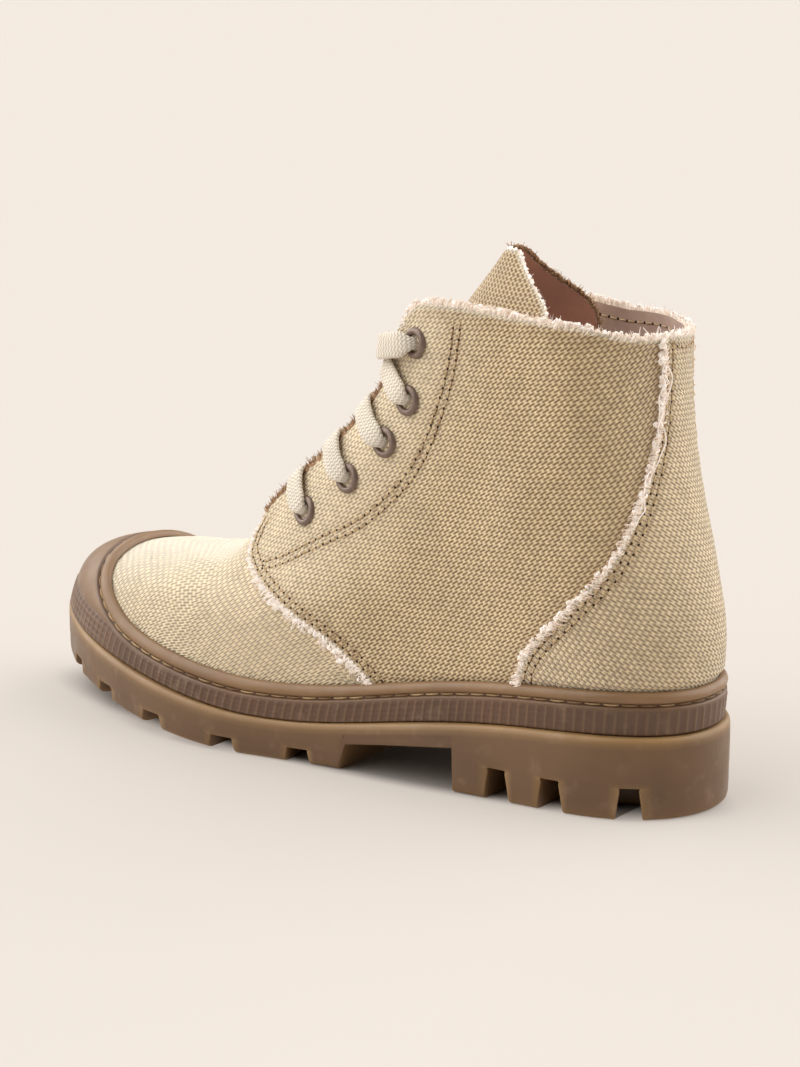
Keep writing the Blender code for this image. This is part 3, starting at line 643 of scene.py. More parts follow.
def collar_row(angle):
    return at_angle(COLLAR, angle) - np.interp(angle, *INNER_SINK.T)


def shifted(row, angle, distance):
    """Moves a line on the form sideways over its surface by a distance in millimetres."""
    up, around = slopes(row, angle)
    along = unit(np.gradient(section_point(row, angle), axis=0))
    aside = np.cross(unit(np.cross(up, around)), along) * np.asarray(distance)[..., None]
    uu, aa, ua = (up * up).sum(-1), (around * around).sum(-1), (up * around).sum(-1)
    us, as_ = (up * aside).sum(-1), (around * aside).sum(-1)
    scale = uu * aa - ua * ua
    return row + (us * aa - as_ * ua) / scale, angle + (as_ * uu - us * ua) / scale


def counter_line(way):
    row = np.linspace(OVERLAY_START - 0.1, collar_row(way * counter_edge(8.0, way)), 240)
    return row, counter_edge(row, way)


def quarter_line(_way):
    """The quarter's front edge, the same on both sides."""
    row = np.linspace(OVERLAY_START - 0.14, THROAT_ROW, 200)
    return row, quarter_edge(row)


def facing_line(way):
    row = np.linspace(THROAT_ROW, collar_row(way * COLLAR_FRONT), 160)
    return row, quarter_edge(row)


def collar_line(way):
    angle = np.linspace(0, COLLAR_FRONT, 400)
    return collar_row(way * angle), angle


def eyestay_line(way):
    at = np.linspace(0, len(EYESTAY) - 1, 240)
    row, angle = spline(np.arange(len(EYESTAY)), EYESTAY, at).T
    below = row < collar_row(way * angle) - EYESTAY_END
    return row[below], angle[below]


def sewn_rows(way):
    """Row, angle, distance from the form and facing (1 out, -1 in) of each stitch row on one side."""
    sewn = (
        (COUNTER_ROWS, counter_line(way), 2 * OVERLAY),
        (QUARTER_ROWS, quarter_line(way), OVERLAY),
        ((EYESTAY_HALF, -EYESTAY_HALF), eyestay_line(way), OVERLAY),
    )
    lines = [
        (*shifted(row, way * angle, -way * distance), height, 1)
        for distances, (row, angle), height in sewn for distance in distances
    ]
    row, angle = collar_line(way)
    lines.append((row - COLLAR_ROWS[0], way * angle, -WALL, -1))
    back = angle < counter_edge(row, way) - 2
    lines.append((row[back] - COLLAR_ROWS[1], way * angle[back], 2 * OVERLAY, 1))
    return lines


# Upper

QUARTER_TILT, COUNTER_TILT = 0.07, 0.12  # slope of each panel's weave
VAMP_LIE = ((0.79, 0.35), (-0.16, 1.23))  # weave's run and rise by length and height
LIE_STEPS, LIE_HALVINGS = 12, 15
INNER_LIE = (0.64, 0.77)  # direction of the cloth past the ridge, turned over the ridge's slope
PUCKER_PITCH, PUCKER_REACH, PUCKER_HEIGHT = 8.1, 5.5, 0.16
STITCH_SINK, SINK_REACH = 0.3, 0.9
EDGE_SWELL, SWELL_REACH = 0.25, 1.6
FACING_FLARE, FLARE_REACH = 1.0, 4.0
COUNTER_COLUMNS, QUARTER_COLUMNS, VAMP_COLUMNS = 30, 76, 56
UPPER_ROWS = np.concatenate([
    np.linspace(0.25, OVERLAY_START, 6), np.linspace(1.08, THROAT_ROW, 58),
    np.linspace(THROAT_ROW, 8, 46)[1:],
])


def edge_lines(*lines):
    """Points along raw edges, on both sides of the boot."""
    found = [(line(way), way) for way in (1, -1) for line in lines]
    return [form(row, way * angle) for (row, angle), way in found]


def gap_to(points, *lines):
    """Distance from each point to the nearest of some raw edges."""
    return line_distance(points, edge_lines(*lines))[0]


def crease_depth(points):
    """Soft troughs and ridges, from the distance to each one's line on either side of the boot."""
    depth = np.zeros(len(points))
    for row, angle, row_end, angle_end, width, deep in CREASES:
        at = np.linspace(0, 1, 24)
        line = form(row + (row_end - row) * at, angle + (angle_end - angle) * at)
        for side, strength in ((1, 1.0), (-1, 0.8)):
            gap = np.linalg.norm(points[:, None] - line * (1, side, 1), axis=-1)
            nearest = gap.argmin(axis=1)
            ends = np.sin(np.pi * (0.06 + 0.88 * at[nearest]))
            near = gap.min(axis=1) / width
            depth -= strength * deep * ends * (np.exp(-near**2) - 0.4 * np.exp(-((near - 1.7) ** 2) * 1.6))
    return depth


def line_distance(points, lines, step=0.6):
    """Distance from each point to the nearest line, and the run along that line."""
    places = np.concatenate([even(line, step) for line in lines])
    runs = np.concatenate([run_of(even(line, step)) for line in lines])
    tree = KDTree(len(places))
    for i, place in enumerate(places):
        tree.insert(place, i)
    tree.balance()
    found = [tree.find(p)[1:] for p in points]
    index = np.array([f[0] for f in found])
    return np.array([f[1] for f in found]), runs[index]


def throat_dent(row, angle):
    """How far vamp and tongue lie below the form, between the facings."""
    edge = quarter_edge(row)
    along = smooth_step(row, *DENT_STARTS) * (1 - smooth_step(row, *DENT_ENDS))
    return THROAT_DENT * along * smooth_step(np.abs(angle), edge, edge + 0.6 * (180 - edge))


def vamp_lie(row, angle, side):
    """Length and height of each point of the vamp, as if its cloth lay flat up the outer side and over."""
    last = section_point(row, angle)
    x = last[..., 0]
    fall = np.zeros(row.shape)
    for step in np.linspace(0, 1, LIE_STEPS + 1)[1:]:
        at = angle + (180.0 - angle) * step
        low, high = np.zeros(row.shape), np.full(row.shape, ROWS[-1])
        for _ in range(LIE_HALVINGS):
            middle = (low + high) / 2
            ahead = section_point(middle, at)[..., 0] > x
            low, high = np.where(ahead, middle, low), np.where(ahead, high, middle)
        point = section_point(middle, at)
        fall += np.maximum(np.abs(point - last)[..., 2], 0.6 * np.linalg.norm(point - last, axis=-1))
        last = point
    ridge = np.stack([x, last[..., 2]], -1)
    return ridge + fall[..., None] * np.where(side[:, None] > 0, (0.0, -1.0), INNER_LIE)


def upper_ring():
    """Panel, share of its width, layers and side of each column round the upper."""
    columns = [("counter", i / COUNTER_COLUMNS, 2) for i in range(COUNTER_COLUMNS + 1)]
    columns += [("quarter", i / QUARTER_COLUMNS, 1) for i in range(QUARTER_COLUMNS + 1)]
    columns += [("vamp", 1 - (1 - i / VAMP_COLUMNS) ** 1.3, 0) for i in range(VAMP_COLUMNS + 1)]
    ring = [(*c, 1) for c in columns] + [(*c, -1) for c in columns[-2:0:-1]]
    zone = np.array([c[0] for c in ring])
    return zone, *(np.array([c[k] for c in ring], float) for k in (1, 2, 3))


def upper_angles(row, zone, share, side):
    counter, quarter = counter_edge(row, side), quarter_edge(row)
    start = np.where(zone == "counter", 0, np.where(zone == "quarter", counter, quarter) + SEAM_DEG)
    end = np.where(zone == "counter", counter, np.where(zone == "quarter", quarter, 180.0))
    return start + (end - start) * share


def upper_places(zone, share, side):
    """Row and angle of each point of the upper's grid; the top rows follow the collar."""
    row = np.repeat(UPPER_ROWS[:, None], len(zone), axis=1)
    room = collar_row(upper_angles(row, zone, share, side) * side) - SHAFT_ROW
    row = np.where(row > SHAFT_ROW, SHAFT_ROW + (row - SHAFT_ROW) * room, row)
    return row, upper_angles(row, zone, share, side)


def upper_cells(zone):
    """Squares of the upper's grid, without the vamp above the throat."""
    cells = grid_cells(len(UPPER_ROWS), len(zone), True)
    vamp = np.tile((zone == "vamp") | (np.roll(zone, -1) == "vamp"), len(UPPER_ROWS) - 1)
    above = np.repeat(UPPER_ROWS[:-1] >= THROAT_ROW - 1e-6, len(zone))
    return cells[~(above & vamp)]


def upper_marks(points, angle, zone, shown, seam_gap, edge_gap):
    """Painted shade at seams and beside the counter, paler raw edges, a painted highlight on the ridge, and
    painted light on the vamp, the counter and the quarter's front.
    """
    rows = len(UPPER_ROWS)
    # Painted shade along the sunken stitch rows, and a painted shadow on the quarter beside the counter's
    # edge.
    painted_shade = 0.3 * bell(np.maximum(seam_gap - 0.8, 0), 1.5) * shown
    beside = 0.8 * bell(gap_to(points, counter_line), 3.5)
    painted_shade = np.maximum(painted_shade, np.where(np.tile(zone == "quarter", rows), beside, 0))
    # Painted highlight on the vamp's ridge; elsewhere the raw edges are paler in their own colour.
    ridge = 0.5 * smooth_step(angle.ravel(), 125.0, 172.0)
    pale_edge_and_painted_highlight = np.where(np.tile(zone == "vamp", rows), ridge, 0.75 * bell(edge_gap, 0.9))
    # Painted light: the vamp, the counter and the quarter's front are lighter, as where the lamps fall on
    # them.
    front = 1.2 * smooth_step(angle, 84.0, 122.0)
    lift = np.where(zone == "vamp", 1.15, np.where(zone == "counter", 0.7, front))
    return {"painted_shade": painted_shade, "pale_edge_and_painted_highlight": pale_edge_and_painted_highlight, "lift": lift.ravel()}


def build_upper():
    zone, share, layers, side = upper_ring()
    row, angle = upper_places(zone, share, side)
    signed = angle * side
    rise = ramp(row, OVERLAY_START, OVERLAY_FULL)
    shown = rise.ravel()
    over = np.tile(zone != "vamp", len(UPPER_ROWS))
    plain = form(row, signed).reshape(-1, 3)
    seams = [form(*line[:2]) for way in (1, -1) for line in sewn_rows(way)]
    seam_gap, run = line_distance(plain, seams)
    edge_gap = gap_to(plain, counter_line, quarter_line, facing_line, collar_line)
    pucker = np.cos(run * 2 * np.pi / PUCKER_PITCH + 2 * np.sin(run / 19)) * bell(seam_gap, PUCKER_REACH)
    relief = PUCKER_HEIGHT * pucker - STITCH_SINK * bell(seam_gap, SINK_REACH) + crease_depth(plain)
    relief += np.where(over, EDGE_SWELL * bell(edge_gap, SWELL_REACH), 0)
    offset = (OVERLAY * layers * rise).ravel() + relief * shown
    moved = np.where(over, FACING_FLARE * bell(gap_to(plain, facing_line), FLARE_REACH), 0)
    moved -= throat_dent(row, signed).ravel()
    normal = form_normal(row, signed).reshape(-1, 3)
    points = np.concatenate([plain + depth[:, None] * normal for depth in (offset + moved, moved - WALL)])
    faces, slots = two_faced(upper_cells(zone), len(plain))
    uv = weave_places(plain.reshape(*row.shape, 3), row, angle, zone, side)
    marks = upper_marks(plain, angle, zone, shown, seam_gap, edge_gap)
    used = np.unique(faces)
    at = np.zeros(len(points), int)
    at[used] = np.arange(len(used))
    made = piece(
        "upper_canvas", points[used], at[faces], [CANVAS, LINING], slots, np.tile(uv, (2, 1))[used],
        {key: np.tile(values, 2)[used] for key, values in marks.items()},
    )
    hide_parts("upper")
    return made


def weave_places(points, row, angle, zone, side):
    """Place of each point in its panel's flat weave, in millimetres."""
    x, y, z = np.moveaxis(points, -1, 0)
    uv = np.zeros(points.shape[:2] + (2,))
    for i in range(len(points)):
        for way in (1, -1):
            for panel in ("counter", "quarter"):
                pick = np.flatnonzero((zone == panel) & ((side == way) | (angle[i] == 0)))
                pick = pick[np.argsort(angle[i, pick])]
                run = run_of(np.stack([x[i, pick], y[i, pick]], -1))
                if panel == "counter":
                    places = -way * run, z[i, pick] - way * COUNTER_TILT * run
                else:
                    run += np.interp(70.0, angle[i, pick], x[i, pick] - run)
                    places = run, z[i, pick] + QUARTER_TILT * run
                uv[i, pick] = np.stack(places, -1)
    vamp = np.flatnonzero(zone == "vamp")
    uv[:, vamp] = vamp_lie(row[:, vamp], angle[:, vamp], side[vamp]) @ np.array(VAMP_LIE)
    return uv.reshape(-1, 2)


# Tongue

TONGUE_ROWS, TONGUE_ACROSS, TONGUE_ROUNDS = 90, 60, 50


def tongue_surface(at, across):
    """Points on the tongue's outer face; at runs over the table's rows, across from -1 to 1."""
    at, across = np.broadcast_arrays(np.asarray(at, float), np.asarray(across, float))
    values = np.moveaxis(read_along(at, np.arange(len(TONGUE)), TONGUE), -1, 0)
    free, row, reach, front_x, front_z, edge_x, edge_y = values
    angle = wrapped(180 - across * reach)
    low = np.minimum(row, SHAFT_ROW)
    root = form(low, angle, -WALL - TONGUE_GAP - throat_dent(low, angle))
    turn = np.radians(TONGUE_TURN)
    far_fold = np.interp(at, *np.array(TONGUE_FAR_FOLD).T)
    fold = np.where(across < 0, far_fold, 1.0) * (1 - np.cos(across * turn)) / (1 - np.cos(turn))
    x = front_x - (front_x - edge_x) * fold
    y = edge_y * np.sin(across * turn) / np.sin(turn)
    cone = np.stack([x, y, front_z], -1)
    return root * (1 - free[..., None]) + cone * free[..., None]


def build_tongue():
    at = np.linspace(0, len(TONGUE) - 1, TONGUE_ROWS)[:, None]
    grid = tongue_surface(at, np.linspace(-1, 1, TONGUE_ACROSS)[None])
    for _ in range(TONGUE_ROUNDS):
        grid[1:-1] = 0.25 * grid[:-2] + 0.5 * grid[1:-1] + 0.25 * grid[2:]
    side, up = np.gradient(grid, axis=1), np.gradient(grid, axis=0)
    normal = unit(np.cross(side, up))
    points = np.concatenate([grid.reshape(-1, 3), (grid - TONGUE_THICK * normal).reshape(-1, 3)])
    faces, slots = two_faced(grid_cells(TONGUE_ROWS, TONGUE_ACROSS), TONGUE_ROWS * TONGUE_ACROSS)
    wide = np.cumsum(np.linalg.norm(side, axis=-1), axis=1)
    wide -= wide[:, TONGUE_ACROSS // 2, None]
    high = np.cumsum(np.linalg.norm(up, axis=-1), axis=0)[:, TONGUE_ACROSS // 2, None]
    uv = np.stack([wide, np.broadcast_to(high, wide.shape)], -1).reshape(-1, 2)
    rim_gap = np.minimum(wide.max(1, keepdims=True) - wide, wide - wide.min(1, keepdims=True))
    pale_edge_and_painted_highlight = 0.7 * bell(np.minimum(rim_gap, high.max() - high), 1.0).ravel()
    # Painted shade: the whole tongue is a little browner, for the shade it lies in between the facings.
    marks = {"pale_edge_and_painted_highlight": np.tile(pale_edge_and_painted_highlight, 2), "painted_shade": np.full(len(points), 0.34)}
    looks = [CANVAS, TONGUE_LINING]
    made = piece("tongue_canvas_sheet", points, faces, looks, slots, np.tile(uv, (2, 1)), marks)
    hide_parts("tongue")
    return made, grid, normal


# Rand and sole

RAND_STEPS = 8  # columns in one rib's pitch
RIB_SHAPE = np.array((0, 0, 0, 0, 0, 0.3, 1, 0.3))
BAND_LINES = 4
TOE_SPREAD, TOE_LINES, TOE_BULGE = (130, 160), (126, 138), (135, 155)  # angles where each sets in
BAND_FOOT, BAND_STEP = 0.3, 0.012  # height over the ledge, and rows of the step over the ribbed band
LIP = np.array((
    # distance below the top edge, thickness over the upper
    (5.9, 3.0), (5.5, 2.95), (5.25, 2.6), (5.1, 1.9), (4.85, 1.55), (4.4, 1.55), (4.15, 1.8), (3.7, 2.45),
    (3.0, 2.85), (2.2, 2.95), (1.3, 2.65), (0.6, 2.1), (0.15, 1.5), (0.0, 0.9), (0.05, 0.3),
))


def rand_row(angle, below):
    over_toe = ramp(np.abs(angle), *TOE_SPREAD)
    return at_angle(RAND_TOP, angle) - below / (FEATHER_RISE + (TOE_ROW_PITCH - FEATHER_RISE) * over_toe)


def band_row(angle):
    return np.minimum(rand_row(angle, LIP[0, 0] + 0.3), BAND_HEIGHT / FEATHER_RISE)


def rand_angles():
    """Columns round the rand, evenly spaced along a line near its foot."""
    return mirrored(even_angles(lambda angle: form(0.3, angle, BAND_THICK), RIB_COUNT * RAND_STEPS // 2))


def build_rand():
    angle = rand_angles()
    rib = np.tile(RIB_SHAPE, RIB_COUNT)
    toe = ramp(np.abs(angle), *TOE_LINES)
    low, high = band_row(angle), rand_row(angle, LIP[0, 0])
    loops, marks = [], []

    # The third number of each loop is painted light: highlights on ribs, band and bead, and the glow of thin
    # rubber.
    def loop(row, thick, painted_amber_light, on_ledge=False):
        points = form(row, angle, thick)
        if on_ledge:
            points[:, 2] = ledge(np.clip(points[:, 0], 0, SOLE_LENGTH)) + BAND_FOOT
        loops.append(points)
        marks.append(np.broadcast_to(painted_amber_light, angle.shape))

    foot = np.full_like(angle, BAND_FOOT / FEATHER_RISE)
    loop(foot, 0.6, 0.0, True)
    loop(foot, BAND_THICK - 0.3, 0.0, True)
    for share in np.linspace(0.05, 0.95, 21):
        ends = np.clip(min(share, 1 - share) / 0.1, 0, 1)
        line = np.clip(np.cos(share * 2 * np.pi * BAND_LINES) * 2 - 1, 0, 1)
        raised = np.maximum(rib, line * toe) * ends
        groove = 0.1 * line * (1 - toe)
        loop(foot + (low - foot) * share, BAND_THICK + RIB_HEIGHT * raised - groove, 0.2 * raised)
    loop(low, BAND_THICK - 0.05, 0.15)
    step = low + BAND_STEP
    loop(step, BAND_THICK - 0.1, 0.15)
    for share in np.linspace(0.08, 0.92, 12):
        bulge = 0.5 * np.sin(np.pi * share) * ramp(np.abs(angle), *TOE_BULGE)
        loop(step + (high - step) * share, BAND_THICK + bulge, 0.2 + 0.25 * share * toe)
    for below, thick in LIP:
        # Painted light on the bead and on the band under the groove, none in the groove itself.
        loop(rand_row(angle, below), thick, 0.2 if below > 5.2 else 0.48 if below < 4.2 else 0.0)
    made = piece(
        "rand_trim", np.concatenate(loops), grid_cells(len(loops), len(angle), True), [BAND_RUBBER],
        marks={"painted_amber_light": np.concatenate(marks)}, sharp_deg=70.0,
    )
    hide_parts("rand")


WELT_PITCH, WELT_BELOW, WELT_HEIGHT, WELT_RADIUS = 6.2, 4.62, 1.75, 0.34
WELT_STATIONS = 9


def welt_stitches():
    """Long stitches that lie in the rand's groove, dipping at their ends."""
    angle = np.linspace(-180, 180, 3000)
    line = form(rand_row(angle, WELT_BELOW), angle, WELT_HEIGHT)
    run = run_of(line)
    count = round(run[-1] / WELT_PITCH)
    at = (np.arange(count)[:, None] + np.linspace(0.08, 0.92, WELT_STATIONS)[None]) * run[-1] / count
    angles = np.interp(at, run, angle)
    lift = 0.5 * bowed(WELT_STATIONS, 0.5) - 0.2
    paths = read_along(at, run, line)
    paths += form_normal(rand_row(angles, WELT_BELOW), angles) * lift[None, :, None]
    points, cells, owner = tubes(paths, WELT_RADIUS * bowed(WELT_STATIONS, 0.4, 0.12), 6)
    made = piece("welt_stitches", points, cells, [WELT_THREAD], marks={"shade": RANDOM.random(count)[owner]})


def underside(x):
    """Height of the lowest face: the tread, or the arch between heel and forefoot."""
    x = np.asarray(x)
    inside = (x > ARCH[1, 0]) & (x < ARCH[-1, 0])
    return np.where(inside, np.maximum(np.interp(x, *ARCH[1:].T), tread(x)), tread(x))


def sole_columns():
    """Columns round the outer side: angle on the uncut edge, notch's middle, place on its wall, sizes."""
    plain = even_angles(sole_outline, 190)
    columns = []
    for x, low, high, height in NOTCHES:
        middle = float(angle_of(x / SOLE_LENGTH))
        spread = np.degrees(low / SOLE_LENGTH / np.sin(np.radians(middle)))
        plain = plain[np.abs(plain - middle) > spread * 1.3]
        for at, (along, depth) in zip(np.linspace(-1.12, 1.12, len(NOTCH_WALL)), NOTCH_WALL):
            columns.append((middle + spread * at, middle, along, depth, low, high, height))
    arch = [angle_of((x + np.array(ARCH_STEPS)) / SOLE_LENGTH) for x in ARCH[:, 0]]
    plain = np.concatenate([plain, *arch])
    for angle in plain:
        height = np.interp(SOLE_LENGTH * share_of(angle), (80, 128), (NOTCHES[0, 3], NOTCHES[-1, 3]))
        columns.append((angle, angle, 0.0, 0.0, 0.0, 0.0, height))
    return np.array(sorted(columns)).T


LUG_ROOF = 6.0  # least height left over a notch
CORNER_DEPTH = 0.12  # share of the depth that counts as a notch's corner
# In the three tables below, the last column is painted light: the glow of thin rubber and highlights on the
# sole's edges.
SOLE_FOOT = (
    # inset, rise over the underside, narrowing of the notches, amber
    (2.2, 0, 0, 0.3), (1.2, 0.3, 0.02, 0.45), (0.5, 1.0, 0.08, 0.35), (0.2, 2.4, 0.2, 0.1),
)
SOLE_WALL = (
    # share of the notches' height, share of their depth, narrowing, amber
    (0.55, 1.0, 0.5, 0.0), (0.9, 1.0, 0.9, 0.05), (0.97, 0.98, 0.85, 0.1), (1.0, 0.94, 0.75, 0.2),
    (1.004, 0.05, 0.75, 0.35), (1.03, 0.012, 0.8, 0.4),
)
SOLE_EDGE = (
    # inset, distance below the ledge, amber
    (0.0, 4.2, 0.1), (0.05, 2.4, 0.4), (0.25, 1.2, 0.8), (0.75, 0.4, 1.0), (1.6, 0.05, 0.8), (3.5, 0.0, 0.3),
    (9.0, 0.0, 0.0),
)


def sole_ring(columns, inset, cut, narrowing):
    """Points x, y of one loop round the sole; cut is the share of the notches' depth."""
    uncut, middle, along, depth, low, high, _ = columns
    sides = []
    for way in (1, -1):
        place = sole_outline(way * uncut, inset)
        if cut > 0:
            edge = sole_outline(way * middle, inset)
            inward = sole_outline(way * middle, inset + 1.0) - edge
            forward = np.stack([-inward[:, 1], inward[:, 0]], -1) * way
            width = low + (high - low) * narrowing
            place = edge + (along * width / 2)[:, None] * forward
            place += inward * (depth * NOTCH_DEPTH * cut)[:, None]
        sides.append(place)
    return np.concatenate([sides[0], sides[1][::-1]])


def sole_caps(count, base):
    """Squares across one end of the sole, facing down for the first loop and up for the last."""
    caps = [
        [base + i, base + i + 1, base + count - 2 - i, base + count - 1 - i] for i in range(count // 2 - 1)
    ]
    return caps if base else [cap[::-1] for cap in caps]


def build_outsole():
    columns = sole_columns()
    uncut, _, _, depth, low, _, height = columns
    corner = np.where(low > 0, np.clip(1 - depth / CORNER_DEPTH, 0, 1), 0)
    x = SOLE_LENGTH * share_of(uncut)
    foot, top = underside(x), ledge(x)
    room = np.minimum(height, top - foot - LUG_ROOF)
    loops, marks = [], []

    def level(inset, z, cut, narrowing, painted_amber_light, plain_share=1.0):
        """One loop at height z; plain_share of its amber goes where there is no notch."""
        ring = sole_ring(columns, inset, cut, narrowing)
        loops.append(np.column_stack([ring, np.concatenate([z, z[::-1]])]))
        rim = painted_amber_light * np.where(low > 0, 1.0, plain_share)
        # Painted highlight on the notches' corners.
        mark = np.maximum(rim, 0.55 * corner * (cut > 0))
        marks.append(np.concatenate([mark, mark[::-1]]))

    for inset, rise, narrowing, painted_amber_light in SOLE_FOOT:
        level(inset, foot + np.minimum(rise, room * 0.3), 1.0, narrowing, painted_amber_light)
    for share, cut, narrowing, painted_amber_light in SOLE_WALL:
        level(0.1, foot + room * share, cut, narrowing, painted_amber_light, 0.0)
    level(0.1, foot + room + 0.7, 0.0, 1.0, 0.2, 0.0)
    level(0.0, foot + room + 2.2, 0.0, 1.0, 0.05)
    for inset, below, painted_amber_light in SOLE_EDGE:
        level(inset, top - below, 0.0, 1.0, painted_amber_light)
    count = len(loops[0])
    cells = [*grid_cells(len(loops), count, True)]
    cells += sole_caps(count, 0) + sole_caps(count, (len(loops) - 1) * count)
    made = piece(
        "outsole_lugs", np.concatenate(loops), cells, [SOLE_RUBBER], marks={"painted_amber_light": np.concatenate(marks)},
        sharp_deg=38.0,
    )
    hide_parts("outsole")


# Eyelets and lace

def eyelet_frame(row, angle):
    """Centre on the quarter's face, and three axes: along the row, up the shaft, and out."""
    centre = form(row, angle, OVERLAY)
    out = form_normal(row, angle)
    along = unit(np.cross((0.0, 0.0, 1.0), out))
    return centre, along, np.cross(out, along), out


EYELET_SIDES = 40


def build_eyelets():
    turn = np.linspace(0, 2 * np.pi, EYELET_SIDES, endpoint=False)[:, None]
    cells = grid_cells(len(EYELET_PROFILE), EYELET_SIDES, True)[:, ::-1]
    parts = []
    for side in (1, -1):
        for row, angle in EYELETS:
            centre, along, up, out = eyelet_frame(row, side * angle)
            ring = np.cos(turn) * along + np.sin(turn) * up
            parts.append(np.concatenate([centre + r * ring + h * out for r, h in EYELET_PROFILE]))
    cells = copies(cells, len(parts), len(parts[0]))
    made = piece("eyelet_rings", np.concatenate(parts), cells, [ENAMEL])
    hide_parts(*[f"eyelet_{i:02d}" for i in range(1, 11)])


LACE_WIDTH, LACE_THICK = 9.0, 2.3
LACE_IN_HOLE = (4.2, 3.0)  # width and thickness where it bunches in an eyelet
LACE_OPENS = (4.2, 10.2)  # distances from an eyelet where it starts to spread and is flat
LACE_SECTION, LACE_STEPS, LACE_ROUNDS, TAUT_ROUNDS = 20, 150, 14, 700
LACE_TRIM = 6  # steps left out at either end of a run, where the eyelets' own points take over
LACE_POINTS = 81
LACE_RAY, LACE_RAY_LENGTH, LACE_FALLBACK = 16.0, 60.0, -4.0  # start, length, depth if it finds no cloth
UNDER_ANGLES, UNDER_GAP = (192, 208), 1.0  # where a run dips under the far facing, and how far below it
EYELET_PASS = (-3.4, -1.5, 0.4, 1.7)  # heights of the lace's points in an eyelet
CROSSING = (
    # share of the rise to the next eyelet, share of the way to the facing's edge; past 1 is over the tongue
    (0.00, 0.0), (0.14, 0.3), (0.34, 0.72), (0.47, 1.0), (0.5, 1.25),
)
FAR_SIDE = ((0.96, 1.25), (0.98, 1.0), (1.0, 0.6), (1.0, 0.0))  # the same, with the way from the other eyelet
LACE_CLIMB = (1.6, 1.55, 1.3, 1.05, 1.0)
BAR_BULGE = 4.0
TOP_BAR = ((0.0, 0.0), (-0.04, 0.35), (-0.1, 0.75), (-0.15, 1.0), (-0.18, 1.25))


def lace_strip(path, normal, width, thick):
    """Flat strip with rounded edges along a path, and its weave places."""
    along = unit(np.gradient(path, axis=0))
    for _ in range(120):
        along[1:-1] = (along[:-2] + along[1:-1] + along[2:]) / 3
    along = unit(along)
    wide = unit(np.cross(normal, along))
    out = np.cross(along, wide)
    turn = np.arange(LACE_SECTION) * 2 * np.pi / LACE_SECTION
    x = np.sign(np.cos(turn)) * np.abs(np.cos(turn)) ** 0.65
    y = np.sign(np.sin(turn)) * np.abs(np.sin(turn)) ** 0.75
    points = (
        path[:, None] + (width[:, None] / 2 * x)[..., None] * wide[:, None]
        + (thick[:, None] / 2 * y)[..., None] * out[:, None]
    )
    run = run_of(path)
    uv = np.stack(np.broadcast_arrays(run[:, None], LACE_WIDTH / 2 * x), -1)
    return points.reshape(-1, 3), grid_cells(len(path), LACE_SECTION, True), uv.reshape(-1, 2)


def lace_knots(low, high):
    """Rows and angles that one run of the lace passes, from its eyelet to the one across."""
    start, end = EYELETS[low], EYELETS[high]
    bar = high == low
    rise = 1.0 if bar else end[0] - start[0]
    near, far = [], []
    for up, share in TOP_BAR if bar else CROSSING:
        row = start[0] + up * rise * LACE_CLIMB[low]
        near.append((row, start[1] + (quarter_edge(row) - start[1]) * share))
    for up, share in () if bar else FAR_SIDE:
        row = start[0] + up * rise
        far.append((row, 360 - end[1] - (quarter_edge(row) - end[1]) * share))
    if bar:
        far = [(row, 360 - angle) for row, angle in near[::-1]]
    return np.array(near + far)


def laid_path(knots, bar, way, tree, over):
    """Points and outward directions of a run that lies on facing and tongue and dips under the far facing."""
    at = np.linspace(0, len(knots) - 1, LACE_POINTS)
    row, angle = read_along(at, np.arange(len(knots)), knots).T
    under = ramp(angle, *UNDER_ANGLES) * (not bar)
    over = over + BAR_BULGE * np.sin(np.pi * at / at[-1]) ** 0.7 * bar
    path, normal = [], []
    for r, a, sunk, height in zip(row, wrapped(angle) * way, under, over):
        out = form_normal(r, a)
        hit = tree.ray_cast(Vector(form(r, a, LACE_RAY)), Vector(-out), LACE_RAY_LENGTH)[0]
        spot = np.array(hit) if hit else form(r, a, LACE_FALLBACK)
        path.append((spot + out * height) * (1 - sunk) + form(r, a, -WALL - UNDER_GAP) * sunk)
        normal.append(out)
    return np.array(path), np.array(normal)


def pulled_taut(path, normal):
    """Lifts a path off the hollows that a tight lace bridges."""
    lift = path.copy()
    for _ in range(TAUT_ROUNDS):
        middle = (lift[:-2] + lift[2:]) / 2
        rise = ((middle - path[1:-1]) * normal[1:-1]).sum(-1)
        lift[1:-1] = np.where((rise > 0)[:, None], middle, (path[1:-1] + lift[1:-1]) / 2)
    return lift


def crossing(low, high, way, tree, over):
    """Path of one run: out of its eyelet, over facing and tongue, under the far facing to the next."""
    bar = high == low
    path, normal = laid_path(lace_knots(low, high), bar, way, tree, over)
    path = pulled_taut(path, normal)[LACE_TRIM:-LACE_TRIM]
    normal = normal[LACE_TRIM:-LACE_TRIM]
    ends = []
    for (row, angle), sign in ((EYELETS[low], way), (EYELETS[high], -way)):
        centre, _, _, out = eyelet_frame(row, sign * angle)
        ends.append([centre + out * height for height in EYELET_PASS])
    tail = ends[1][::-1] if bar else ends[1][:1]
    first, last = (np.repeat(n, len(e), axis=0) for n, e in ((normal[:1], ends[0]), (normal[-1:], tail)))
    return np.concatenate([ends[0], path, tail]), np.concatenate([first, normal, last])


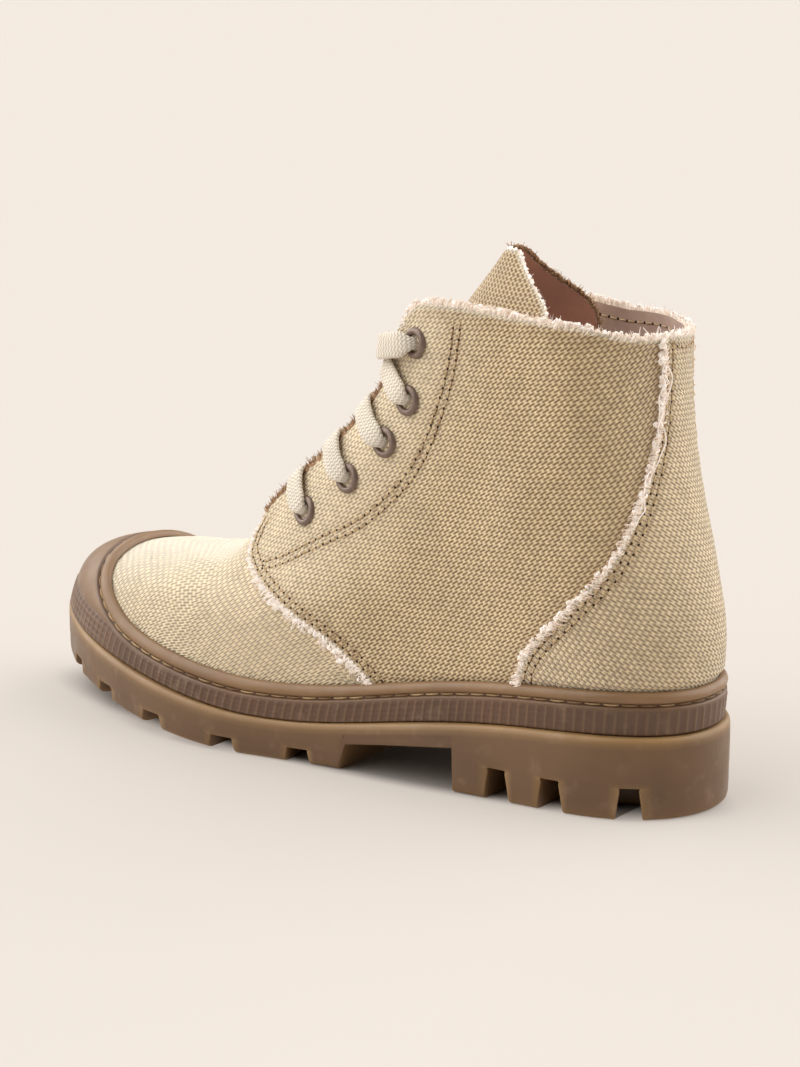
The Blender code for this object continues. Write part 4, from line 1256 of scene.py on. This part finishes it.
def build_lace(tree):
    """One flat lace through every eyelet: crossings up the throat and a bar at the top."""
    strips = []
    pairs = [(k, k + 1, way) for k in range(4) for way in (1, -1)] + [(4, 4, 1)]
    for low, high, way in pairs:
        over = LACE_THICK / 2 + 0.15 + (1.0 if way > 0 else 0.0)
        path, normal = crossing(low, high, way, tree, over)
        run = run_of(path)
        at = np.linspace(0, run[-1], LACE_STEPS)
        line = read_along(at, run, np.column_stack([path, normal]))
        for _ in range(LACE_ROUNDS):
            line[1:-1] = (line[:-2] + 2 * line[1:-1] + line[2:]) / 4
        from_end = np.minimum(at, run[-1] - at) if high == low else at
        opened = smooth_step(from_end, *LACE_OPENS)
        width = LACE_IN_HOLE[0] + (LACE_WIDTH - LACE_IN_HOLE[0]) * opened
        thick = LACE_IN_HOLE[1] + (LACE_THICK - LACE_IN_HOLE[1]) * opened
        strips.append(lace_strip(line[:, :3], unit(line[:, 3:]), width, thick))
    points, cells, uv = merge(strips)
    made = piece("lace_flat", points, cells, [LACE], uv=uv)
    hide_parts("lace")


# Stitches and frayed edges

FRAY_STATIONS = 6
LUMP_PITCH = 0.55
LUMP_RINGS, LUMP_SIDES = 6, 8
STITCH_STATIONS, HOLE_SIDES = 7, 6
RAY_START, RAY_LENGTH = 9.0, 16.0  # of the ray that finds the cloth, height over the form and length


def resting(tree, seam, row, angle):
    """Height over the form at which a seam's thread lies on the cloth."""
    _, _, height, facing = seam
    if facing < 0:
        return np.full(row.shape, height)
    starts = form(row, angle, RAY_START).reshape(-1, 3)
    out = form_normal(row, angle).reshape(-1, 3)
    falls = [tree.ray_cast(Vector(s), Vector(-o), RAY_LENGTH)[3] for s, o in zip(starts, out)]
    falls = [RAY_START - OVERLAY if fall is None else fall for fall in falls]
    return RAY_START - np.array(falls).reshape(row.shape)


def seam_threads(tree, seam, run, middle):
    """The stitches of one seam, and a dark tube sunk under each of them as painted shade along the thread."""
    row, angle, _, facing = seam
    at = middle[:, None] + np.linspace(-0.5, 0.5, STITCH_STATIONS)[None] * (STITCH - STITCH_GAP)
    rows, angles = np.interp(at, run, row), np.interp(at, run, angle)
    face = resting(tree, seam, rows, angles)
    taper = bowed(STITCH_STATIONS, 0.4, 0.15)
    paths = form(rows, angles, face + facing * (0.3 * bowed(STITCH_STATIONS, 0.6) - 0.12))
    thread = tubes(paths, STITCH_RADIUS * taper, 5)
    return thread, tubes(form(rows, angles, face - 0.36 * facing), SHADE_RADIUS * taper, 6)


def seam_holes(tree, seam, run, at):
    """Dark needle holes of one seam: low six-sided lids, longer along the seam."""
    row, angle, _, facing = seam
    rows, angles = np.interp(at, run, row), np.interp(at, run, angle)
    out = form_normal(rows, angles) * facing
    side = read_along(at, run, unit(np.gradient(form(row, angle), axis=0)))
    turn = (np.arange(HOLE_SIDES) * 2 * np.pi / HOLE_SIDES)[:, None]
    long, short = HOLE_SIZE[0] * np.cos(turn), HOLE_SIZE[1] * np.sin(turn)
    ring = long * side[:, None] + short * np.cross(out, side)[:, None]
    spot = form(rows, angles, resting(tree, seam, rows, angles))[:, None]
    points = np.concatenate([spot + ring, spot + 0.6 * ring + 0.16 * out[:, None]], 1).reshape(-1, 3)
    lid = np.concatenate([grid_cells(2, HOLE_SIDES, True), ((6, 7, 8, 9), (6, 9, 10, 11))])
    return points, copies(lid, len(out), 2 * HOLE_SIDES), np.zeros(len(points))


def build_stitches(tree):
    """Short stitches between dark needle holes along every sewn row, each lined by a dark tube of painted
    shade.
    """
    threads, holes = [], []
    for seam in sewn_rows(1) + sewn_rows(-1):
        run = run_of(form(*seam[:2]))
        middle = np.arange(0.5, run[-1] / STITCH - 0.5) * STITCH
        thread, shade = seam_threads(tree, seam, run, middle)
        threads.append(thread)
        holes += [shade, seam_holes(tree, seam, run, middle - STITCH / 2)]
    points, cells, owner = merge(threads)
    made = piece("seam_stitches", points, cells, [THREAD], marks={"shade": shade_of(owner, 0.0, 1.0)})
    points, cells, _ = merge(holes)
    made = piece("needle_holes_and_painted_shade", points, cells, [HOLE_AND_SHADE])


def edge_frames(points, normal, outward_hint):
    """Points along an edge with their tangent, surface normal and outward direction."""
    along = unit(np.gradient(points, axis=0))
    out = unit(np.cross(normal, along))
    flip = np.sign((out * outward_hint).sum(-1, keepdims=True))
    return points, along, normal, out * flip


def part_of(edge, pick):
    """The stretch of an edge where pick holds."""
    return tuple(values[pick] for values in edge)


def edge_on_form(line, way, height):
    """Row and frames of a raw edge on one side of the upper."""
    row, angle = line(way)
    layers = np.where(angle < counter_edge(row, way), 0.5, 0.0) + height
    points = form(row, way * angle, layers)
    up, around = slopes(row, way * angle)
    hint = up if line is collar_line else way * around
    return row, edge_frames(points, form_normal(row, way * angle), hint)


def fray(edge, pitch, fibres, length, fan, lift, radius=0.13, shades=(0.3, 1.0), size=None):
    """Loose yarn ends along an edge: tufts a pitch apart, each a curled fan of fibres."""
    run = run_of(edge[0])
    tufts = int(run[-1] / pitch)
    place = (np.arange(tufts) + RANDOM.uniform(0.25, 0.75, tufts)) * run[-1] / tufts
    tuft = np.repeat(np.arange(tufts), fibres)
    count = len(tuft)
    at = np.clip(place[tuft] + RANDOM.normal(0, 0.12 * pitch, count), 0, run[-1])
    root, a, n, o = (read_along(at, run, values) for values in edge)
    reach = length * (RANDOM.uniform(0.6, 1.2, tufts)[tuft] * RANDOM.uniform(0.55, 1.1, count))
    if size is not None:
        reach *= np.interp(at, run, size)
    lean = (RANDOM.normal(0, 0.35, tufts)[tuft] + RANDOM.normal(0, fan, count))[:, None]
    raised = (lift + RANDOM.normal(0, 0.2, tufts)[tuft] + RANDOM.normal(0, fan * 0.6, count))[:, None]
    heading = unit(o + a * lean + n * raised)
    curl = unit(RANDOM.normal(size=(count, 3)) + a * 0.5 - n * 0.4) * 0.55
    t = np.linspace(0, 1, FRAY_STATIONS)[None, :, None]
    twist = RANDOM.random((count, 1, 1)) * 6.28
    wiggle = np.sin(t * 7 + twist) * 0.1 * np.cross(heading, curl)[:, None]
    root = root - o * 0.6 + n * RANDOM.normal(0, 0.2, (count, 1))
    bend = heading[:, None] * t + curl[:, None] * t**2 * 0.7 + wiggle
    paths = root[:, None] + reach[:, None, None] * bend
    thin = radius * RANDOM.uniform(0.6, 1.3, (count, 1)) * (1 - 0.6 * t[:, :, 0])
    points, cells, owner = tubes(paths, thin, 3)
    return points, cells, shade_of(owner, *shades)


def clumps(edge, pitch, size, reach=2.0):
    """Small lumps of teased cotton, gathered into tufts a pitch apart along an edge."""
    run = run_of(edge[0])
    count = int(run[-1] / LUMP_PITCH)
    at = np.sort(RANDOM.uniform(0, run[-1], count))
    middle, a, n, o = (read_along(at, run, values) for values in edge)
    tuft = np.abs(np.sin(np.pi * at / pitch + 0.5 * np.sin(at))) ** 0.8 * np.interp(at, run, size)
    middle = middle + o * (reach * tuft * RANDOM.uniform(0.05, 1.0, count))[:, None]
    middle = middle + n * RANDOM.uniform(-0.2, 0.5, (count, 1))
    turns = np.arange(LUMP_SIDES) * 2 * np.pi / LUMP_SIDES
    height, turn = np.meshgrid(np.linspace(-0.95, 0.95, LUMP_RINGS), turns, indexing="ij")
    flat = np.sqrt(1 - height**2)
    ball = np.stack([flat * np.cos(turn), flat * np.sin(turn), height], -1).reshape(-1, 3)
    grow = (RANDOM.uniform(0.45, 0.85, count) * (0.45 + 0.55 * tuft))[:, None, None]
    lumpy = ball * RANDOM.uniform(0.55, 1.45, (count, len(ball), 1))
    lumpy = lumpy * RANDOM.uniform(0.7, 1.4, (count, 1, 3)) * grow
    shape = middle[:, None] + np.einsum("ckj,cjx->ckx", lumpy, np.stack([a, o, n], 1))
    cells = copies(grid_cells(LUMP_RINGS, LUMP_SIDES, True), count, len(ball))
    return shape.reshape(-1, 3), cells, np.repeat(RANDOM.uniform(0.5, 1.0, count), len(ball))


def loose_threads(row, angle, height, spans):
    """Yarns that have come away from an edge and bow out between two places on it."""
    lines = []
    at = np.linspace(0, 1, 26)
    for start, end, bulge, lift in spans:
        rows = start + (end - start) * at
        angles = np.interp(rows, row, angle)
        bow = bowed(len(at), 0.8)
        wave = 0.35 * np.sin(at * 11 + start * 7)
        r, a = shifted(rows, angles, bulge * bow + wave)
        lines.append(form(r, a, height + lift * bow))
    points, cells, owner = tubes(np.array(lines), 0.22 + 0.05 * np.sin(at * 40), 5)
    return points, cells, shade_of(owner, 0.7, 1.0)


def selvage(edge, radius, wander, strands, shade=0.9):
    """Matted yarn along a raw edge: loose strands that wind round each other in small loops."""
    points, _, normal, out = edge
    line = even(np.column_stack([points, normal, out]), 0.4)
    run = run_of(line[:, :3])
    parts = []
    for k in range(strands):
        phase = run / RANDOM.uniform(0.4, 0.75) + k * 1.7 + np.cumsum(RANDOM.normal(0, 0.2, len(run)))
        size = wander * (0.65 + 0.5 * np.sin(run / RANDOM.uniform(1.6, 4.0) + k))
        sway = 0.5 * wander * np.sin(run / 9.7 + 1.3 * np.sin(run / 23.0))
        path = line[:, :3] + line[:, 3:6] * (0.6 * np.sin(phase) * size)[:, None]
        path = path + line[:, 6:] * (np.cos(phase) * size + sway)[:, None]
        thick = radius * (0.85 + 0.3 * np.sin(run / 1.7 + 2 * k) + RANDOM.normal(0, 0.1, len(run)))
        points, cells, _ = tubes(path[None], thick[None], 5)
        parts.append((points, cells, np.repeat(shade * (0.8 + 0.2 * np.sin(run / 3.1 + k)), 5)))
    return merge(parts)


def shade_of(owner, low, high):
    owner = owner.astype(int)
    return (low + (high - low) * RANDOM.random(int(owner.max()) + 1))[owner]


# The numbers below are, for fray: pitch, fibres in a tuft, length, fan, lift, radius, shades, size;
# for selvage: radius, wander, strands, shade; and for clumps: pitch, size, reach.
WHITE = (0.8, 1.0)
COLLAR_BACK = 26.0  # angle up to which the collar's fray is longer


def collar_frays(way):
    _, edge = edge_on_form(collar_line, way, 0.0)
    back = part_of(edge, collar_line(way)[1] < COLLAR_BACK)
    return [
        selvage(edge, 0.42, 1.4, 6, 0.62),
        fray(edge, 1.9, 9, 2.6, 0.6, 0.2, shades=(0.2, 0.85)),
        clumps(edge, 5.3, np.full(len(edge[0]), 0.95), 1.8),
        fray(edge, 2.8, 4, 1.5, 0.7, 0.2, 0.4, WHITE),
        fray(back, 3.4, 8, 4.2, 0.8, 0.4, 0.2, WHITE),
    ]


def panel_frays(way):
    row, edge = edge_on_form(quarter_line, way, 0.8)
    size = np.interp(row, (3.2, 4.2), (1.0, 0.5))
    return [
        clumps(edge, STITCH, size, 3.0),
        fray(edge, STITCH / 2, 9, 3.2, 0.5, 0.35, 0.17, WHITE, size),
        selvage(edge, 0.16, 0.3, 2, 0.5),
    ]


def counter_frays(way):
    row, edge = edge_on_form(counter_line, way, 1.4)
    size = np.interp(row, (6.4, 7.4), (1.0, 1.5)) if way > 0 else np.full(len(row), 0.6)
    made = [
        selvage(edge, 0.22, 1.6, 5, 0.55),
        clumps(edge, 7.3, 0.9 * size, 2.2),
        fray(edge, 1.8, 9, 1.8, 0.7, 0.5, 0.13, WHITE, size),
        fray(edge, 4.9, 8, 2.0, 0.9, 0.6, 0.3, WHITE, size),
    ]
    if way > 0:
        made.append(loose_threads(*counter_line(way), 1.6, LOOSE_YARNS))
    return made


def facing_frays(way):
    _, edge = edge_on_form(facing_line, way, 1.7)
    return [selvage(edge, 0.45, 0.9, 6), fray(edge, 0.6, 9, 2.2, 0.5, 1.2, 0.18)]


def tongue_edges(grid, normal):
    """Frames of the near and the far half of the tongue's rim."""
    start = len(grid) // 2

    def rim_of(values):
        return np.concatenate([values[start:, 0], values[-1, 1:-1], values[start:, -1][::-1]])

    normals = rim_of(normal)
    rim = rim_of(grid) - normals * TONGUE_THICK / 2
    edge = edge_frames(rim, normals, rim - grid[start:].reshape(-1, 3).mean(0))
    far = rim[:, 1] < np.median(rim[:, 1])
    return part_of(edge, ~far), part_of(edge, far)


def build_frays(tongue_grid, tongue_normal):
    """White tufts on the seams, matted yarn on the counter and the top edges, brown ends on the facings, and
    brown ends as painted shade on the tongue's inner edge.
    """
    makers = {
        "collar_fray": collar_frays, "panel_fray": panel_frays, "counter_fray": counter_frays,
        "facing_fray": facing_frays,
    }
    groups = {name: [] for name in makers}
    for way in (1, -1):
        for name, maker in makers.items():
            groups[name] += maker(way)
    near, far = tongue_edges(tongue_grid, tongue_normal)
    groups["tongue_fray"] = [
        selvage(near, 0.42, 0.75, 5), fray(near, 2.0, 8, 1.7, 0.6, 0.0),
        fray(near, 2.6, 3, 1.2, 0.7, 0.1, 0.36),
    ]
    # The tongue's inner edge gets brown yarn ends: painted shade, as that edge lies in shade.
    groups["inner_tongue_fray_in_painted_shade"] = [selvage(far, 0.34, 1.0, 6), fray(far, 0.8, 9, 2.4, 0.7, 0.1, 0.17)]
    for name, parts in groups.items():
        points, cells, shade = merge(parts)
        look = BROWN_FRAY if name in ("facing_fray", "inner_tongue_fray_in_painted_shade") else FRAY
        made = piece(name, points, cells, [look], marks={"shade": shade})


# Stage

def sun(name, to_light, strength, spread_deg):
    lamp = bpy.data.lights.new(name, "SUN")
    lamp.energy, lamp.angle = strength, math.radians(spread_deg)
    made = bpy.data.objects.new(name, lamp)
    made.rotation_euler = to_light.to_track_quat("Z", "Y").to_euler()
    bpy.context.scene.collection.objects.link(made)


CAMERA_PLACE = np.array((-443.1, 780.2, 304.7))
CAMERA_FORWARD = Vector((0.5764, -0.7842, -0.2298))
LENS_MM = 95.0
LIGHTS = (
    # name, way to it (right, up, towards the camera), strength, spread in degrees
    ("left_light", (-0.9, 0.6, 0.0), 2.9, 90.0), ("far_light", (-0.7, 1.0, -0.6), 1.7, 90.0),
    ("rim_light", (1.0, 0.6, -0.35), 2.8, 80.0), ("right_light", (1.0, 0.8, 0.25), 0.7, 80.0),
)
FLOOR_HALF = 30.0
# The dark oval is a painted shadow: the floor doesn't glow there.
FLOOR_SHADE = (0.14, 0.041)  # half length and half width of the floor's dark oval under the sole, in metres


def build_camera(scene):
    camera = bpy.data.cameras.new("camera")
    camera.lens, camera.sensor_width = LENS_MM, 36.0
    camera.clip_end = 100.0
    holder = bpy.data.objects.new("camera", camera)
    holder.location = Vector((CAMERA_PLACE - ORIGIN) * MM)
    holder.rotation_euler = (-CAMERA_FORWARD).to_track_quat("Z", "Y").to_euler()
    scene.collection.objects.link(holder)
    scene.camera = holder


def build_lights(scene):
    above = Vector((0, 0, 1))
    right = CAMERA_FORWARD.cross(above).normalized()
    back = Vector((-CAMERA_FORWARD.x, -CAMERA_FORWARD.y, 0)).normalized()
    for name, (to_right, up, to_camera), strength, spread in LIGHTS:
        sun(name, right * to_right + above * up + back * to_camera, strength, spread)
    world = bpy.data.worlds.new("studio")
    world.use_nodes = True
    sky = world.node_tree.nodes["Background"]
    sky.inputs["Color"].default_value = (*srgb(241, 234, 228), 1.0)
    sky.inputs["Strength"].default_value = 0.15
    scene.world = world


def floor_look():
    """Pale paper that glows a little, except in an oval under the sole that is a painted shadow."""
    look = Look("floor_paper", 0.95, Base_Color=srgb(156, 150, 144), Specular_IOR_Level=0.0)
    parts = look.split(look.place())
    across = [look.calc("POWER", look.calc("DIVIDE", parts[k], FLOOR_SHADE[k]), 2.0) for k in (0, 1)]
    lit = look.span(look.calc("ADD", *across), 0.75, 1.2, 0.0, 0.415)
    look.set(Emission_Color=srgb(241, 231, 221), Emission_Strength=lit)
    return look.material


def build_stage():
    scene = bpy.context.scene
    scene.view_settings.view_transform = "Standard"
    build_camera(scene)
    build_lights(scene)
    mesh = bpy.data.meshes.new("floor")
    corners = [(x * FLOOR_HALF, y * FLOOR_HALF, 0) for x, y in ((-1, -1), (1, -1), (1, 1), (-1, 1))]
    mesh.from_pydata(corners, [], [(0, 1, 2, 3)])
    mesh.materials.append(floor_look())
    floor = bpy.data.objects.new("floor", mesh)
    scene.collection.objects.link(floor)


def ray_tree(objects):
    """Search tree over the faces of some pieces, in millimetres."""
    points, faces = [], []
    for made in objects:
        start = len(points)
        points += [Vector(p) for p in np.array([v.co for v in made.data.vertices]) / MM + ORIGIN]
        faces += [[i + start for i in face.vertices] for face in made.data.polygons]
    return BVHTree.FromPolygons(points, faces)


def main():
    build_stage()
    upper = build_upper()
    tongue, grid, normal = build_tongue()
    build_rand()
    welt_stitches()
    build_outsole()
    build_eyelets()
    tree = ray_tree((upper, tongue))
    build_lace(tree)
    build_stitches(tree)
    build_frays(grid, normal)
    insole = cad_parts["insole"]
    insole.data.materials.clear()
    insole.data.materials.append(FOOTBED)


main()
